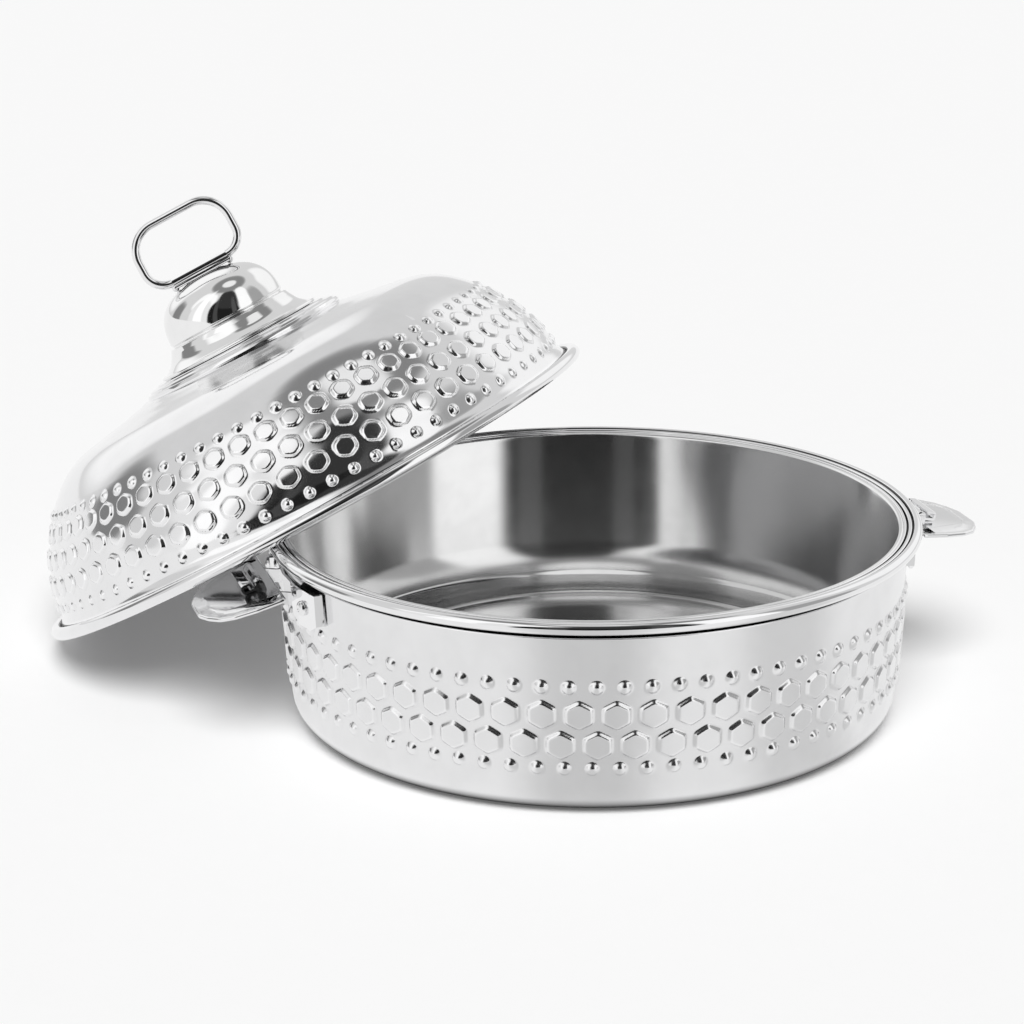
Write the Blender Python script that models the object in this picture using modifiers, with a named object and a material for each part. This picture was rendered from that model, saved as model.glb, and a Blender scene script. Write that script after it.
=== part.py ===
"""Insulated chapati casserole, open, with its lid leaning on the rim.

The pot is a double wall: an embossed outer shell and a plain inner pan with
insulation between them. The lid is built the same way and carries a bell knob
with a swinging ring. A lever and a hook on each side would hold the lid down.
Everything is in metres with +Z up. The pot stands on z = 0 at the origin, and
the camera side of the object is -Y.
"""

import math
from collections import namedtuple

import bmesh
import bpy
from mathutils import Matrix, Vector

# Shared values
GAP = 0.0003                  # air between pieces that touch
SHEET = 0.0010                # steel sheet of the shells and the pan
ROUND_STEPS = 32              # facets round the large turned pieces
HIDDEN_STEPS = 28             # facets round the insulation
SMALL_STEPS = 24              # facets round the knob and its neck
PIN_STEPS = 8                 # facets round pins and rivets
ARC_STEPS = 4                 # facets in a quarter turn of an outline
OVERRUN = 0.004               # how far a cutter passes the piece it cuts

# Pot
RIM_RADIUS = 0.150            # outside of the rolled rim
RIM_TOP = 0.091
RIM_BEAD = 0.004              # radius of the rolled rim's section
WALL_INSET = 0.0062           # from the rim's outside to the wall just under it
WALL_TAPER = 0.0045           # how much narrower the wall is above its bottom corner
WALL_TOP_RADIUS = RIM_RADIUS - WALL_INSET
WALL_FOOT_RADIUS = WALL_TOP_RADIUS - WALL_TAPER
FOOT_CORNER = 0.012
FOOT_LIFT = 0.0010            # the shell's bottom above the table
FOOT_FLANGE = 0.0093          # flat edge of the shell's bottom, round the base disc
FOOT_OPENING = WALL_FOOT_RADIUS - FOOT_CORNER - FOOT_FLANGE
BASE_SHEET = 0.0022
BASE_GROOVE_INSET = 0.032     # from the disc's edge to the ring pressed into its underside
BASE_GROOVE = 0.0012
LIP_RADIUS = 0.0012           # rounded inner lip of the rim
LIP_AIR = 0.0004              # between the lip and the rolled rim
LIP_DROP = 0.0013             # from the rim's top down to the lip's
LIP_DEPTH = 0.0030            # how far the lip is turned down outside
PAN_SHEET = 0.0008
PAN_TAPER = 0.0008
PAN_FLOOR = 0.0160
PAN_CORNER = 0.018
PAN_STEP_INSET = 0.0064       # from the corner to the floor's pressed circle
PAN_STEP = 0.0010
PAN_TOP_RADIUS = RIM_RADIUS - 2 * RIM_BEAD - LIP_AIR - 2 * LIP_RADIUS
PAN_FOOT_RADIUS = PAN_TOP_RADIUS - PAN_TAPER
PAN_STEP_RADIUS = PAN_FOOT_RADIUS - PAN_CORNER - PAN_STEP_INSET

# Hexagons pressed out of both shells
HexBand = namedtuple("HexBand", "columns rows turn start step")
HEX_RAISE = 0.0013
HEX_RIM_SHARE = 0.15          # sloping border of a hexagon over its pitch
POT_HEX_COUNT = 56
POT_HEX_ROW_COUNT = 2
POT_HEX_TURN = math.radians(0.9)    # azimuth of a hexagon in the lowest row
POT_HEX_LEVEL = 0.0337        # height of the lowest row's centre line
POT_HEX_STEP = 0.0134         # from row to row
LID_HEX_COUNT = 58
LID_HEX_ROW_COUNT = 3
LID_HEX_TURN = math.radians(2.46)
LID_HEX_START = 0.0200        # lowest row's centre line, along the lid's wall
LID_HEX_STEP = 0.0122
FINE_PITCH = 0.008            # rings with shorter facets get half as many

# Insulation
INSULATION_AIR = 0.0012
POT_INSULATION_RISE = 0.005   # above the pan's floor. Only air is left above it
POT_INSULATION_LIFT = 0.0018  # above the base disc
LID_INSULATION_FOOT = 0.004
LID_INSULATION_HOLE = 0.016   # room round the knob's nut

# Lid, in its own frame: z = 0 is the plane of its rolled edge
LID_TILT = math.radians(29.5)
LID_LEAN = math.radians(162.7)      # azimuth towards which the lid slopes down
LID_BEARING = math.radians(144.5)   # azimuth of the lid's centre, seen from the pot's axis
LID_INSET = 0.0036            # how far the lid's edge stays inside the pot's rim when closed
LID_RADIUS = RIM_RADIUS - LID_INSET
LID_BEAD = 0.0032
LID_WALL_INSET = 0.0021       # from the rolled edge to the outer wall just above it
LID_WALL_RADIUS = LID_RADIUS - 2 * LID_BEAD - LID_WALL_INSET
LID_HEIGHT = 0.0776           # top of the dome
LID_HOLE = 0.0038             # hole for the knob's stud
# radius over the wall radius, height over the dome's height
LID_OUTLINE_SHARES = ((1.0, 0.084), (0.985, 0.219), (0.959, 0.345), (0.899, 0.532),
                      (0.845, 0.651), (0.754, 0.790), (0.640, 0.878), (0.500, 0.938))
LINER_FLANGE = 0.0076         # flat edge of the lid's inner shell
LINER_EDGE_HEIGHT = 0.0014    # top of that edge
LID_CAVITY = 0.0116           # between the tops of the lid's two shells
LINER_HEIGHT = LID_HEIGHT - LID_CAVITY
LINER_OUTLINE_SHARES = ((0.982, 0.06), (0.956, 0.28), (0.895, 0.52), (0.780, 0.75),
                        (0.600, 0.90), (0.330, 0.975))
SEAT_SAMPLE_COUNT = 360       # points of the lid's edge compared with the rim
SEARCH_STEPS = 30             # steps of the searches for the place of the lid and lever

# Neck collar and bell knob, in the lid's frame
KNOB_FLANGE_RADIUS = 0.0420
KNOB_FLANGE_EDGE = 0.0014
KNOB_FLANGE_WIDTH = 0.0018    # from the flange's edge to the skirt's foot
KNOB_SKIRT_FLARE = 0.0094     # from the skirt's foot to the waist
KNOB_SKIRT_RADIUS = KNOB_FLANGE_RADIUS - KNOB_FLANGE_WIDTH
KNOB_WAIST_RADIUS = KNOB_SKIRT_RADIUS - KNOB_SKIRT_FLARE
KNOB_WAIST_HEIGHT = 0.0130    # above the knob's foot
KNOB_GROOVE = 0.0007
KNOB_BALL_INSET = 0.0005
KNOB_BALL_RADIUS = KNOB_WAIST_RADIUS - KNOB_BALL_INSET
COLLAR_LEDGE = 0.0035         # flat seen outside the knob's flange
COLLAR_SLOPE = 0.0070         # width of the slope outside it
COLLAR_SHOULDER = KNOB_FLANGE_RADIUS + COLLAR_LEDGE
COLLAR_RADIUS = COLLAR_SHOULDER + COLLAR_SLOPE
COLLAR_HOLE = 0.020
COLLAR_THICKNESS = 0.0031
COLLAR_EDGE = 0.0020
KNOB_HEIGHT = 0.0359
KNOB_SHEET = 0.0014
KNOB_SKIRT_POWER_SHARE = 1.3
KNOB_BALL_POWER_SHARE = 2.2
STUD_RADIUS = 0.0030
STUD_HEAD_RADIUS = 0.0070
STUD_HEAD_HEIGHT = 0.0020
WASHER_RADIUS = 0.0110
WASHER_THICKNESS = 0.0012
NUT_ACROSS = 0.0100
NUT_HEIGHT = 0.0042
STUD_END = 0.0015             # stud seen past the nut

# Ring handle and its saddle, on the knob
RING_TURN = math.radians(24.8)      # about the lid's axis, from its lean
RING_WIDTH = 0.0535           # over the outside of the wire
RING_HEIGHT = 0.0343
RING_WIRE = 0.0021            # radius of the wire
RING_TOP_CORNER = 0.0140
RING_FOOT_CORNER = 0.0100
RING_CORNER_STEPS = 5
SADDLE_END_AIR = 0.0001       # from the saddle's end to the ring's bend
SADDLE_LENGTH = RING_WIDTH - 2 * RING_FOOT_CORNER - 2 * SADDLE_END_AIR
SADDLE_SHEET = 0.0012
SADDLE_AIR = 0.00035
SADDLE_MOUTH = math.radians(68)     # half angle of its open top
SADDLE_FOOT_HALF = 0.0042

# Clasps, in a frame whose X points away from the pot's axis at the clasp
CLASP_AZIMUTH = math.radians(17.6)
LEVER_PIVOT_STAND = 0.0082    # from the wall's top radius out to the pivot
LEVER_PIVOT_DROP = 0.0178     # from the rim's top down to the pivot
LEVER_PIVOT_X = WALL_TOP_RADIUS + LEVER_PIVOT_STAND
LEVER_PIVOT_Z = RIM_TOP - LEVER_PIVOT_DROP
LEVER_PIN = 0.0012            # radius
LEVER_PIN_HEAD = 0.0020
LEVER_PIN_HEAD_HEIGHT = 0.0010
LEVER_LENGTH = 0.0345         # from the pivot to the tip
LEVER_TAIL = 0.0025           # from the pivot back to the pot
LEVER_ROOT_HALF = 0.0320      # half widths
LEVER_TIP_HALF = 0.0085
LEVER_SHEET = 0.0012
LEVER_RISE = 0.0038           # top of the plate above the pivot
LEVER_FOLD = 0.0022           # depth of the folded edge
# distance from the pivot over the length, width over the step from tip to root
LEVER_OUTLINE_SHARES = ((0.0, 1.0), (0.32, 0.93), (0.62, 0.76), (0.80, 0.56), (0.92, 0.27),
                        (1.0, 0.0))
EAR_SHEET = 0.0014            # ears under the plate, outside the bracket's lugs
EAR_END = 0.0025
RIGHT_DROOP = math.radians(7)       # the free lever
LAST_DROOP = math.radians(80)       # as far as the lid may push the left lever down
HOOK_PIVOT_X = 0.0045         # from the lever's pivot
HOOK_HALF = 0.0110            # half width of the hook
HOOK_PIN = 0.0010
HOOK_BARREL = 0.0023
HOOK_SHEET = 0.0011
HOOK_REACH = 0.0082           # from its pivot to the outside of the claw
HOOK_MOUTH = 0.0021
HOOK_RETURN = 0.0046          # length of the claw's lip
HOOK_BEND = 0.0014            # outer radius of the claw's bends
KNUCKLE_SHEET = 0.0014
BRACKET_SHEET = 0.0012
BRACKET_STRAP_AIR = 0.0006    # between the strap and the wall
PAD_AZIMUTH = math.radians(13.2)    # from the clasp's middle to a riveted pad
PAD_HALF = math.radians(4.4)
PAD_JOGGLE = math.radians(1.0)
PAD_STAND = 0.0033            # from the wall to the back of the pad
PAD_DROP = 0.0098             # from the rim's top down to the pad's
PAD_HEIGHT = 0.0178
PAD_TOP = RIM_TOP - PAD_DROP
PAD_FOOT = PAD_TOP - PAD_HEIGHT
PAD_SHOULDER = 0.0034         # how far the pad's foot is rounded up
STRAP_HEIGHT = 0.0103
STRAP_RISE = 0.0043           # strap's top above the lever's pivot
STRAP_TOP = LEVER_PIVOT_Z + STRAP_RISE
STRAP_FOOT = STRAP_TOP - STRAP_HEIGHT
LUG_Y = 0.0170
LUG_SHEET = 0.0018
LUG_END = LEVER_RISE - LEVER_SHEET - GAP
LUG_DROP = 0.0052             # lug's root below the pivot
LUG_RISE = 0.0009
RIVET_Z = PAD_TOP - PAD_HEIGHT / 2
RIVET_SHANK = 0.0016
RIVET_HEAD = 0.0036
RIVET_DOME = 0.0020
RIVET_DOME_SHARES = (0.55, 0.9)
RIVET_TAIL = 0.0024
RIVET_TAIL_HEIGHT = 0.0008

# Surfaces: colour, metallic and roughness
SATIN = ((0.72, 0.73, 0.74, 1.0), 1.0, 0.26)
DULL = ((0.70, 0.71, 0.72, 1.0), 1.0, 0.35)
POLISHED = ((0.80, 0.80, 0.81, 1.0), 1.0, 0.14)
MIRROR = ((0.84, 0.84, 0.85, 1.0), 1.0, 0.08)
FOAM = ((0.86, 0.80, 0.62, 1.0), 0.0, 0.9)


def clear_scene():
    """Remove every object that the file opened with."""
    for old in list(bpy.data.objects):
        bpy.data.objects.remove(old, do_unlink=True)


def new_collection(name):
    """Make a collection and link it to the scene."""
    made = bpy.data.collections.new(name)
    bpy.context.scene.collection.children.link(made)
    return made


def material(name, colour, metallic, roughness):
    """Make a plain Principled material for one sub-part."""
    made = bpy.data.materials.new(name)
    made.use_nodes = True
    shader = made.node_tree.nodes["Principled BSDF"]
    shader.inputs["Base Color"].default_value = colour
    shader.inputs["Metallic"].default_value = metallic
    shader.inputs["Roughness"].default_value = roughness
    return made


def add_object(name, data, collection, surface=None, parent=None, place=None):
    """Link a new object, with its material, its parent and its place."""
    made = bpy.data.objects.new(name, data)
    collection.objects.link(made)
    if surface is not None:
        made.data.materials.append(material(name, *surface))
    if parent is not None:
        made.parent = parent
    if place is not None:
        made.matrix_basis = place
    return made


def add_empty(name, collection, place, parent=None):
    """Link an empty that other pieces hang from."""
    made = add_object(name, None, collection, parent=parent, place=place)
    made.empty_display_size = RIM_BEAD
    return made


def arc(centre_x, centre_y, radius, start, end, steps=ARC_STEPS):
    """Points on an arc, from one angle to another, both in degrees."""
    turns = [math.radians(start + (end - start) * i / steps) for i in range(steps + 1)]
    return [(centre_x + radius * math.cos(t), centre_y + radius * math.sin(t)) for t in turns]


def offset_outline(points, distance):
    """Points moved to the right of an open outline, keeping its ends on the axis."""
    moved = []
    for i, point in enumerate(points):
        before, after = points[max(i - 1, 0)], points[min(i + 1, len(points) - 1)]
        run = Vector((after[0] - before[0], after[1] - before[1])).normalized()
        x, y = point[0] + run.y * distance, point[1] - run.x * distance
        moved.append((0.0 if point[0] == 0 else x, y))
    return moved


def thinned(points):
    """Every second point of an outline, with its last straight stretch."""
    return points[:-2:2] + points[-2:]


def height_at(outline, radius):
    """Height of an outline that falls outwards, at a radius."""
    for near, far in zip(outline, outline[1:]):
        if far[0] >= radius:
            return near[1] + (far[1] - near[1]) * (radius - near[0]) / (far[0] - near[0])
    return outline[-1][1]


def radius_at(outline, height):
    """Radius of an outline that falls outwards, at a height."""
    for near, far in zip(outline, outline[1:]):
        if far[1] <= height:
            return near[0] + (far[0] - near[0]) * (near[1] - height) / (near[1] - far[1])
    return outline[-1][0]


def inscribed(radius, steps):
    """Radius of the circle that fits inside a ring of flat facets."""
    return radius * math.cos(math.pi / steps)


def signed_area(points):
    """Area of a closed outline, positive when it runs anticlockwise."""
    return sum(a[0] * b[1] - b[0] * a[1] for a, b in zip(points, points[1:] + points[:1])) / 2


def turned(name, outline, collection, surface, steps, parent=None, place=None):
    """Turn an outline of (radius, height) round the Z axis.

    An outline that starts and ends on the axis stays open, and runs down its
    outer side. Any other outline is closed, and is put the right way round.
    """
    touches_axis = outline[0][0] == 0
    if not touches_axis and signed_area(outline) > 0:
        outline = outline[::-1]
    count = len(outline)
    edges = [(i, i + 1) for i in range(count - 1)]
    if not touches_axis:
        edges.append((count - 1, 0))
    mesh = bpy.data.meshes.new(name)
    mesh.from_pydata([(x, 0, z) for x, z in outline], edges, [])
    made = add_object(name, mesh, collection, surface, parent, place)
    screw = made.modifiers.new("Screw", "SCREW")
    screw.axis = "Z"
    screw.angle = 2 * math.pi
    screw.steps = steps
    screw.render_steps = steps
    screw.use_merge_vertices = True
    screw.merge_threshold = GAP / 10
    return made


def cut_from_sheet(name, outline, thickness, collection, surface=None, parent=None, place=None):
    """Extrude a closed flat outline of (x, z) along Y, to both sides alike."""
    curve = bpy.data.curves.new(name, "CURVE")
    curve.dimensions = "2D"
    curve.fill_mode = "BOTH"
    curve.extrude = thickness / 2
    curve.render_resolution_u = 0
    spline = curve.splines.new("POLY")
    spline.points.add(len(outline) - 1)
    for point, (x, z) in zip(spline.points, outline):
        point.co = (x, z, 0, 1)
    spline.use_cyclic_u = True
    guide = add_object(name + ".outline", curve, collection)
    mesh = mesh_of(guide)
    mesh.transform(Matrix.Rotation(math.pi / 2, 4, "X"))
    return add_object(name, mesh, collection, surface, parent, place)


def mesh_of(guide):
    """Turn a curve object into a welded mesh, and remove the curve."""
    bpy.context.view_layer.update()
    seen = guide.evaluated_get(bpy.context.evaluated_depsgraph_get())
    mesh = bpy.data.meshes.new_from_object(seen)
    bpy.data.objects.remove(guide, do_unlink=True)
    bm = bmesh.new()
    bm.from_mesh(mesh)
    bmesh.ops.remove_doubles(bm, verts=bm.verts, dist=GAP / 10)
    bmesh.ops.recalc_face_normals(bm, faces=bm.faces)
    bm.to_mesh(mesh)
    bm.free()
    return mesh


def combine(target, tool, operation):
    """Give the target an exact Boolean with a tool that stays out of the model."""
    tool.hide_render = True
    tool.display_type = "WIRE"
    step = target.modifiers.new(operation.title(), "BOOLEAN")
    step.operation = operation
    step.solver = "EXACT"
    step.object = tool


def bar_mesh(name, radius, length, steps=PIN_STEPS):
    """A round bar along Y, centred on the origin."""
    bm = bmesh.new()
    bmesh.ops.create_cone(bm, cap_ends=True, segments=steps, radius1=radius, radius2=radius,
                          depth=length, matrix=Matrix.Rotation(math.pi / 2, 4, "X"))
    mesh = bpy.data.meshes.new(name)
    bm.to_mesh(mesh)
    bm.free()
    return mesh


def along(outline, distance):
    """Point and outward direction at a distance along an open outline."""
    left = distance
    for start, end in zip(outline, outline[1:]):
        run = Vector((end[0] - start[0], end[1] - start[1]))
        if left <= run.length or end is outline[-1]:
            spot = Vector(start) + run.normalized() * left
            return spot, Vector((run.y, -run.x)).normalized()
        left -= run.length


def outline_length(outline):
    """Length of an open outline."""
    return sum((Vector(b) - Vector(a)).length for a, b in zip(outline, outline[1:]))


def grow_ring(bm, edges, radius, height, columns):
    """Extrude a ring of edges to a new radius and height, on its own azimuths.

    Where there are more facets than columns, or they are shorter than
    FINE_PITCH, each second new point is welded to the one before it.
    """
    grown = bmesh.ops.extrude_edge_only(bm, edges=edges)["geom"]
    ring = [item for item in grown if isinstance(item, bmesh.types.BMVert)]
    ring.sort(key=lambda v: math.atan2(v.co.y, v.co.x))
    if 2 * math.pi * radius / len(ring) < FINE_PITCH or len(ring) > columns:
        bmesh.ops.weld_verts(bm, targetmap=dict(zip(ring[1::2], ring[0::2])))
        ring = ring[0::2]
    for vert in ring:
        flat = Vector((vert.co.x, vert.co.y)).normalized() * radius
        vert.co = (flat.x, flat.y, height)
    kept = set(ring)
    return [e for e in bm.edges if e.is_boundary and e.verts[0] in kept and e.verts[1] in kept]


def embossed_shell(name, outside, inside, band, collection, surface, parent=None):
    """A closed sheet shell whose outer side carries staggered rows of hexagons.

    The honeycomb is laid out flat, each cell is inset and raised, and the sheet
    is wrapped round the axis. Rings then carry the surface on over the outline's
    ends and down the inner side.

    outside and inside are open outlines from the shell's foot to its top. The
    band's start is the distance along the first of the lowest row's centre
    line, and its turn is the azimuth of a hexagon in that row.
    """
    middle = along(outside, band.start + band.step * (band.rows - 1) / 2)[0]
    pitch = 2 * math.pi * middle.x / band.columns
    half_cell = band.step / 1.5
    stretch = Matrix.Diagonal((pitch / math.sqrt(3), half_cell, 1, 1))
    bm = bmesh.new()
    for row in range(band.rows):
        for column in range(band.columns):
            spot = Vector((pitch * (column + row % 2 / 2), band.start + band.step * row, 0))
            bmesh.ops.create_circle(bm, cap_ends=True, segments=6, radius=1,
                                    matrix=Matrix.Translation(spot) @ stretch)
    bmesh.ops.remove_doubles(bm, verts=bm.verts, dist=GAP / 10)
    cells = list(bm.faces)
    bmesh.ops.inset_individual(bm, faces=cells, thickness=pitch * HEX_RIM_SHARE,
                               use_even_offset=True)
    for vert in {v for cell in cells for v in cell.verts}:
        vert.co.z = HEX_RAISE
    for vert in bm.verts:
        spot, out = along(outside, vert.co.y)
        turn = band.turn + 2 * math.pi * vert.co.x / (pitch * band.columns)
        radius = spot.x + out.x * vert.co.z
        vert.co = (radius * math.cos(turn), radius * math.sin(turn), spot.y + out.y * vert.co.z)
    bmesh.ops.remove_doubles(bm, verts=bm.verts, dist=GAP / 10)

    ends = [e for e in bm.edges if e.is_boundary]
    upper = [e for e in ends if sum(v.co.z for v in e.verts) / 2 > middle.y]
    lower = [e for e in ends if sum(v.co.z for v in e.verts) / 2 < middle.y]
    below = beyond(outside[::-1], outline_length(outside) - band.start + half_cell)
    above = beyond(outside, band.start + band.step * (band.rows - 1) + half_cell)
    for radius, height in above:
        upper = grow_ring(bm, upper, radius, height, band.columns)
    for radius, height in below + inside:
        lower = grow_ring(bm, lower, radius, height, band.columns)
    bmesh.ops.bridge_loops(bm, edges=upper + lower)
    bmesh.ops.recalc_face_normals(bm, faces=bm.faces)
    mesh = bpy.data.meshes.new(name)
    bm.to_mesh(mesh)
    bm.free()
    return add_object(name, mesh, collection, surface, parent)


def beyond(outline, distance):
    """The outline's own points that lie further along it than a distance."""
    walked = 0.0
    kept = []
    for start, end in zip(outline, outline[1:]):
        walked += (Vector(end) - Vector(start)).length
        if walked > distance + SHEET:
            kept.append(end)
    return kept


def wall_radius(height):
    """Outer radius of the pot's wall, which tapers down to its bottom corner."""
    foot, top = FOOT_LIFT + FOOT_CORNER, RIM_TOP - 2 * RIM_BEAD
    share = (height - foot) / (top - foot)
    return WALL_FOOT_RADIUS + (WALL_TOP_RADIUS - WALL_FOOT_RADIUS) * share


def pan_outline(corner_steps, lip_steps):
    """Inner side of the pan, from the middle of its floor over its rolled lip."""
    step = [(0.0, PAN_FLOOR - PAN_STEP), (PAN_STEP_RADIUS, PAN_FLOOR - PAN_STEP),
            (PAN_STEP_RADIUS + PAN_STEP, PAN_FLOOR)]
    corner = arc(PAN_FOOT_RADIUS - PAN_CORNER, PAN_FLOOR + PAN_CORNER, PAN_CORNER, -90, 0,
                 corner_steps)
    lip_z = RIM_TOP - LIP_DROP - LIP_RADIUS
    lip = arc(PAN_TOP_RADIUS + LIP_RADIUS, lip_z, LIP_RADIUS, 180, 0, lip_steps)
    return step + corner + lip + [(lip[-1][0], lip_z - LIP_DEPTH)]


def build_pot(collection, cutters):
    """The pot's shell, base disc, pan, insulation and rolled rim."""
    bead_x, bead_z = RIM_RADIUS - RIM_BEAD, RIM_TOP - RIM_BEAD
    corner = arc(WALL_FOOT_RADIUS - FOOT_CORNER, FOOT_LIFT + FOOT_CORNER, FOOT_CORNER, -90, 0, 3)
    shell_top = bead_z - RIM_BEAD - GAP
    shell_line = [(FOOT_OPENING, FOOT_LIFT)] + corner + [(wall_radius(shell_top), shell_top)]
    start = POT_HEX_LEVEL - corner[-1][1] + outline_length(shell_line[:-1])
    band = HexBand(POT_HEX_COUNT, POT_HEX_ROW_COUNT, POT_HEX_TURN, start, POT_HEX_STEP)
    inside = thinned(offset_outline(shell_line, -SHEET))
    shell = embossed_shell("pot_outer_shell", shell_line, inside, band, collection, SATIN)

    turned("pot_rim_bead", arc(bead_x, bead_z, RIM_BEAD, 0, 315, 7), collection, POLISHED,
           ROUND_STEPS)

    edge = inscribed(FOOT_OPENING, POT_HEX_COUNT) - GAP
    groove = FOOT_OPENING - BASE_GROOVE_INSET
    turned("pot_base_disc", [(0, BASE_SHEET), (edge, BASE_SHEET), (edge, 0),
                             (groove + BASE_GROOVE, 0), (groove, BASE_GROOVE),
                             (groove - BASE_GROOVE, 0), (0, 0)],
           collection, DULL, ROUND_STEPS)

    outside = offset_outline(pan_outline(2, 2), PAN_SHEET)[::-1]
    turned("pot_inner_pan", pan_outline(3, 4) + outside, collection, POLISHED, ROUND_STEPS)

    air = INSULATION_AIR
    top, floor = PAN_FLOOR + POT_INSULATION_RISE, BASE_SHEET + POT_INSULATION_LIFT
    ceiling = PAN_FLOOR - PAN_STEP - PAN_SHEET - air
    bend = PAN_CORNER + PAN_SHEET + air
    bend_z = PAN_FLOOR + PAN_CORNER
    top_angle = math.degrees(math.asin((top - bend_z) / bend))
    pan_corner = arc(PAN_FOOT_RADIUS - PAN_CORNER, bend_z, bend, -90, top_angle, 3)
    shell_side = WALL_FOOT_RADIUS - SHEET - air
    shell_corner = arc(shell_side - FOOT_CORNER, floor + FOOT_CORNER, FOOT_CORNER, 0, -90, 2)
    turned("pot_insulation",
           [(0, ceiling), (PAN_STEP_RADIUS, ceiling)] + pan_corner + [(shell_side, top)]
           + shell_corner + [(0, floor)],
           collection, FOAM, HIDDEN_STEPS)
    return shell


def rivet_place(pad_turn):
    """Place of a rivet whose Z points out of the pad, with its origin on the wall."""
    radius = wall_radius(RIVET_Z)
    spot = Matrix.Rotation(pad_turn, 4, "Z") @ Matrix.Translation((radius, 0, RIVET_Z))
    return spot @ Matrix.Rotation(math.pi / 2, 4, "Y")


def rivet_outline():
    """Rivet from its dome, through the pad and the wall, to its flat tail."""
    pad_face = PAD_STAND + BRACKET_SHEET + GAP
    dome = [(0, pad_face + RIVET_DOME)]
    for share in RIVET_DOME_SHARES:
        dome.append((RIVET_HEAD * share, pad_face + RIVET_DOME * math.sqrt(1 - share ** 2)))
    tail_top = -SHEET - 2 * GAP
    return dome + [(RIVET_HEAD, pad_face), (RIVET_SHANK, pad_face), (RIVET_SHANK, tail_top),
                   (RIVET_TAIL, tail_top), (RIVET_TAIL, tail_top - RIVET_TAIL_HEIGHT),
                   (0, tail_top - RIVET_TAIL_HEIGHT)]


def bracket_columns():
    """Azimuth, stand-off, foot and top of the bracket's sheet, for one half."""
    outer, inner = PAD_AZIMUTH + PAD_HALF, PAD_AZIMUTH - PAD_HALF
    round_foot = PAD_FOOT + PAD_SHOULDER
    shoulder = PAD_HALF / 2
    fold = PAD_JOGGLE / 5
    return [(0.0, BRACKET_STRAP_AIR, STRAP_FOOT, STRAP_TOP),
            (inner - PAD_JOGGLE, BRACKET_STRAP_AIR, STRAP_FOOT, STRAP_TOP),
            (inner, PAD_STAND, round_foot, PAD_TOP),
            (inner + shoulder, PAD_STAND, PAD_FOOT, PAD_TOP),
            (outer - shoulder, PAD_STAND, PAD_FOOT, PAD_TOP),
            (outer - fold, PAD_STAND, round_foot, PAD_TOP),
            (outer, BRACKET_STRAP_AIR, round_foot, PAD_TOP)]


def lug_outline():
    """Outline of the lug that holds the lever's pin, in the clasp's X and Z."""
    root = (wall_radius(LEVER_PIVOT_Z) + BRACKET_STRAP_AIR + BRACKET_SHEET) * math.cos(
        math.asin(LUG_Y / WALL_TOP_RADIUS)) - BRACKET_SHEET / 2
    x, z = LEVER_PIVOT_X, LEVER_PIVOT_Z
    return [(root, z - LUG_DROP)] + arc(x, z, LUG_END, -70, 100, 2 * ARC_STEPS) + [
        (root, z + LUG_RISE)]


def build_bracket(side, frame, collection, cutters):
    """The strap riveted to the pot, with two pads and two lugs for the lever."""
    half = bracket_columns()
    columns = [(-turn, stand, foot, top) for turn, stand, foot, top in half[:0:-1]] + half
    bm = bmesh.new()
    bmesh.ops.create_grid(bm, x_segments=len(columns) - 1, y_segments=1, size=1)
    for vert in bm.verts:
        column = round((vert.co.x + 1) / 2 * (len(columns) - 1))
        turn, stand, foot, top = columns[column]
        height = foot + (top - foot) * (vert.co.y + 1) / 2
        radius = wall_radius(height) + stand
        vert.co = (radius * math.cos(turn), radius * math.sin(turn), height)
    mesh = bpy.data.meshes.new("bracket_" + side)
    bm.to_mesh(mesh)
    bm.free()
    bracket = add_object("bracket_" + side, mesh, collection, SATIN, frame)
    sheet = bracket.modifiers.new("Solidify", "SOLIDIFY")
    sheet.thickness = BRACKET_SHEET
    sheet.offset = 1
    sheet.use_even_offset = True
    for sign in (-1, 1):
        lug = cut_from_sheet("lug_%s_%d" % (side, sign), lug_outline(), LUG_SHEET, cutters,
                             parent=frame, place=Matrix.Translation((0, sign * LUG_Y, 0)))
        combine(bracket, lug, "UNION")
    bore = add_object("bracket_bore_" + side,
                      bar_mesh("bracket_bore_" + side, LEVER_PIN + GAP, 2 * LEVER_ROOT_HALF),
                      cutters, parent=frame,
                      place=Matrix.Translation((LEVER_PIVOT_X, 0, LEVER_PIVOT_Z)))
    combine(bracket, bore, "DIFFERENCE")
    return bracket


def build_rivets(side, frame, bracket, shell, collection, cutters):
    """Two rivets through the pads and the outer shell, each with its holes."""
    reach = PAD_STAND + BRACKET_SHEET + SHEET + 2 * OVERRUN
    for name, sign in (("front", 1 if side == "left" else -1),
                       ("back", -1 if side == "left" else 1)):
        spot = rivet_place(sign * PAD_AZIMUTH)
        turned("rivet_%s_%s" % (side, name), rivet_outline(), collection, POLISHED, PIN_STEPS,
               frame, spot)
        drill = add_object("rivet_hole_%s_%s" % (side, name),
                           bar_mesh("rivet_hole", RIVET_SHANK + GAP, reach), cutters,
                           parent=frame, place=spot @ Matrix.Rotation(math.pi / 2, 4, "X"))
        combine(bracket, drill, "DIFFERENCE")
        combine(shell, drill, "DIFFERENCE")


def pin_outline(half_length, radius, head, head_height):
    """A headed pin, turned round its own length."""
    end = half_length + head_height
    return [(0, end), (head, end), (head, half_length), (radius, half_length),
            (radius, -half_length), (head, -half_length), (head, -end), (0, -end)]


def lever_corner(station, side):
    """Point on the top edge of the lever's plate, on one side of its middle."""
    along_share, width_share = station
    half = LEVER_TIP_HALF + (LEVER_ROOT_HALF - LEVER_TIP_HALF) * width_share
    return Vector((LEVER_LENGTH * along_share, half * side, LEVER_RISE))


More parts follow.
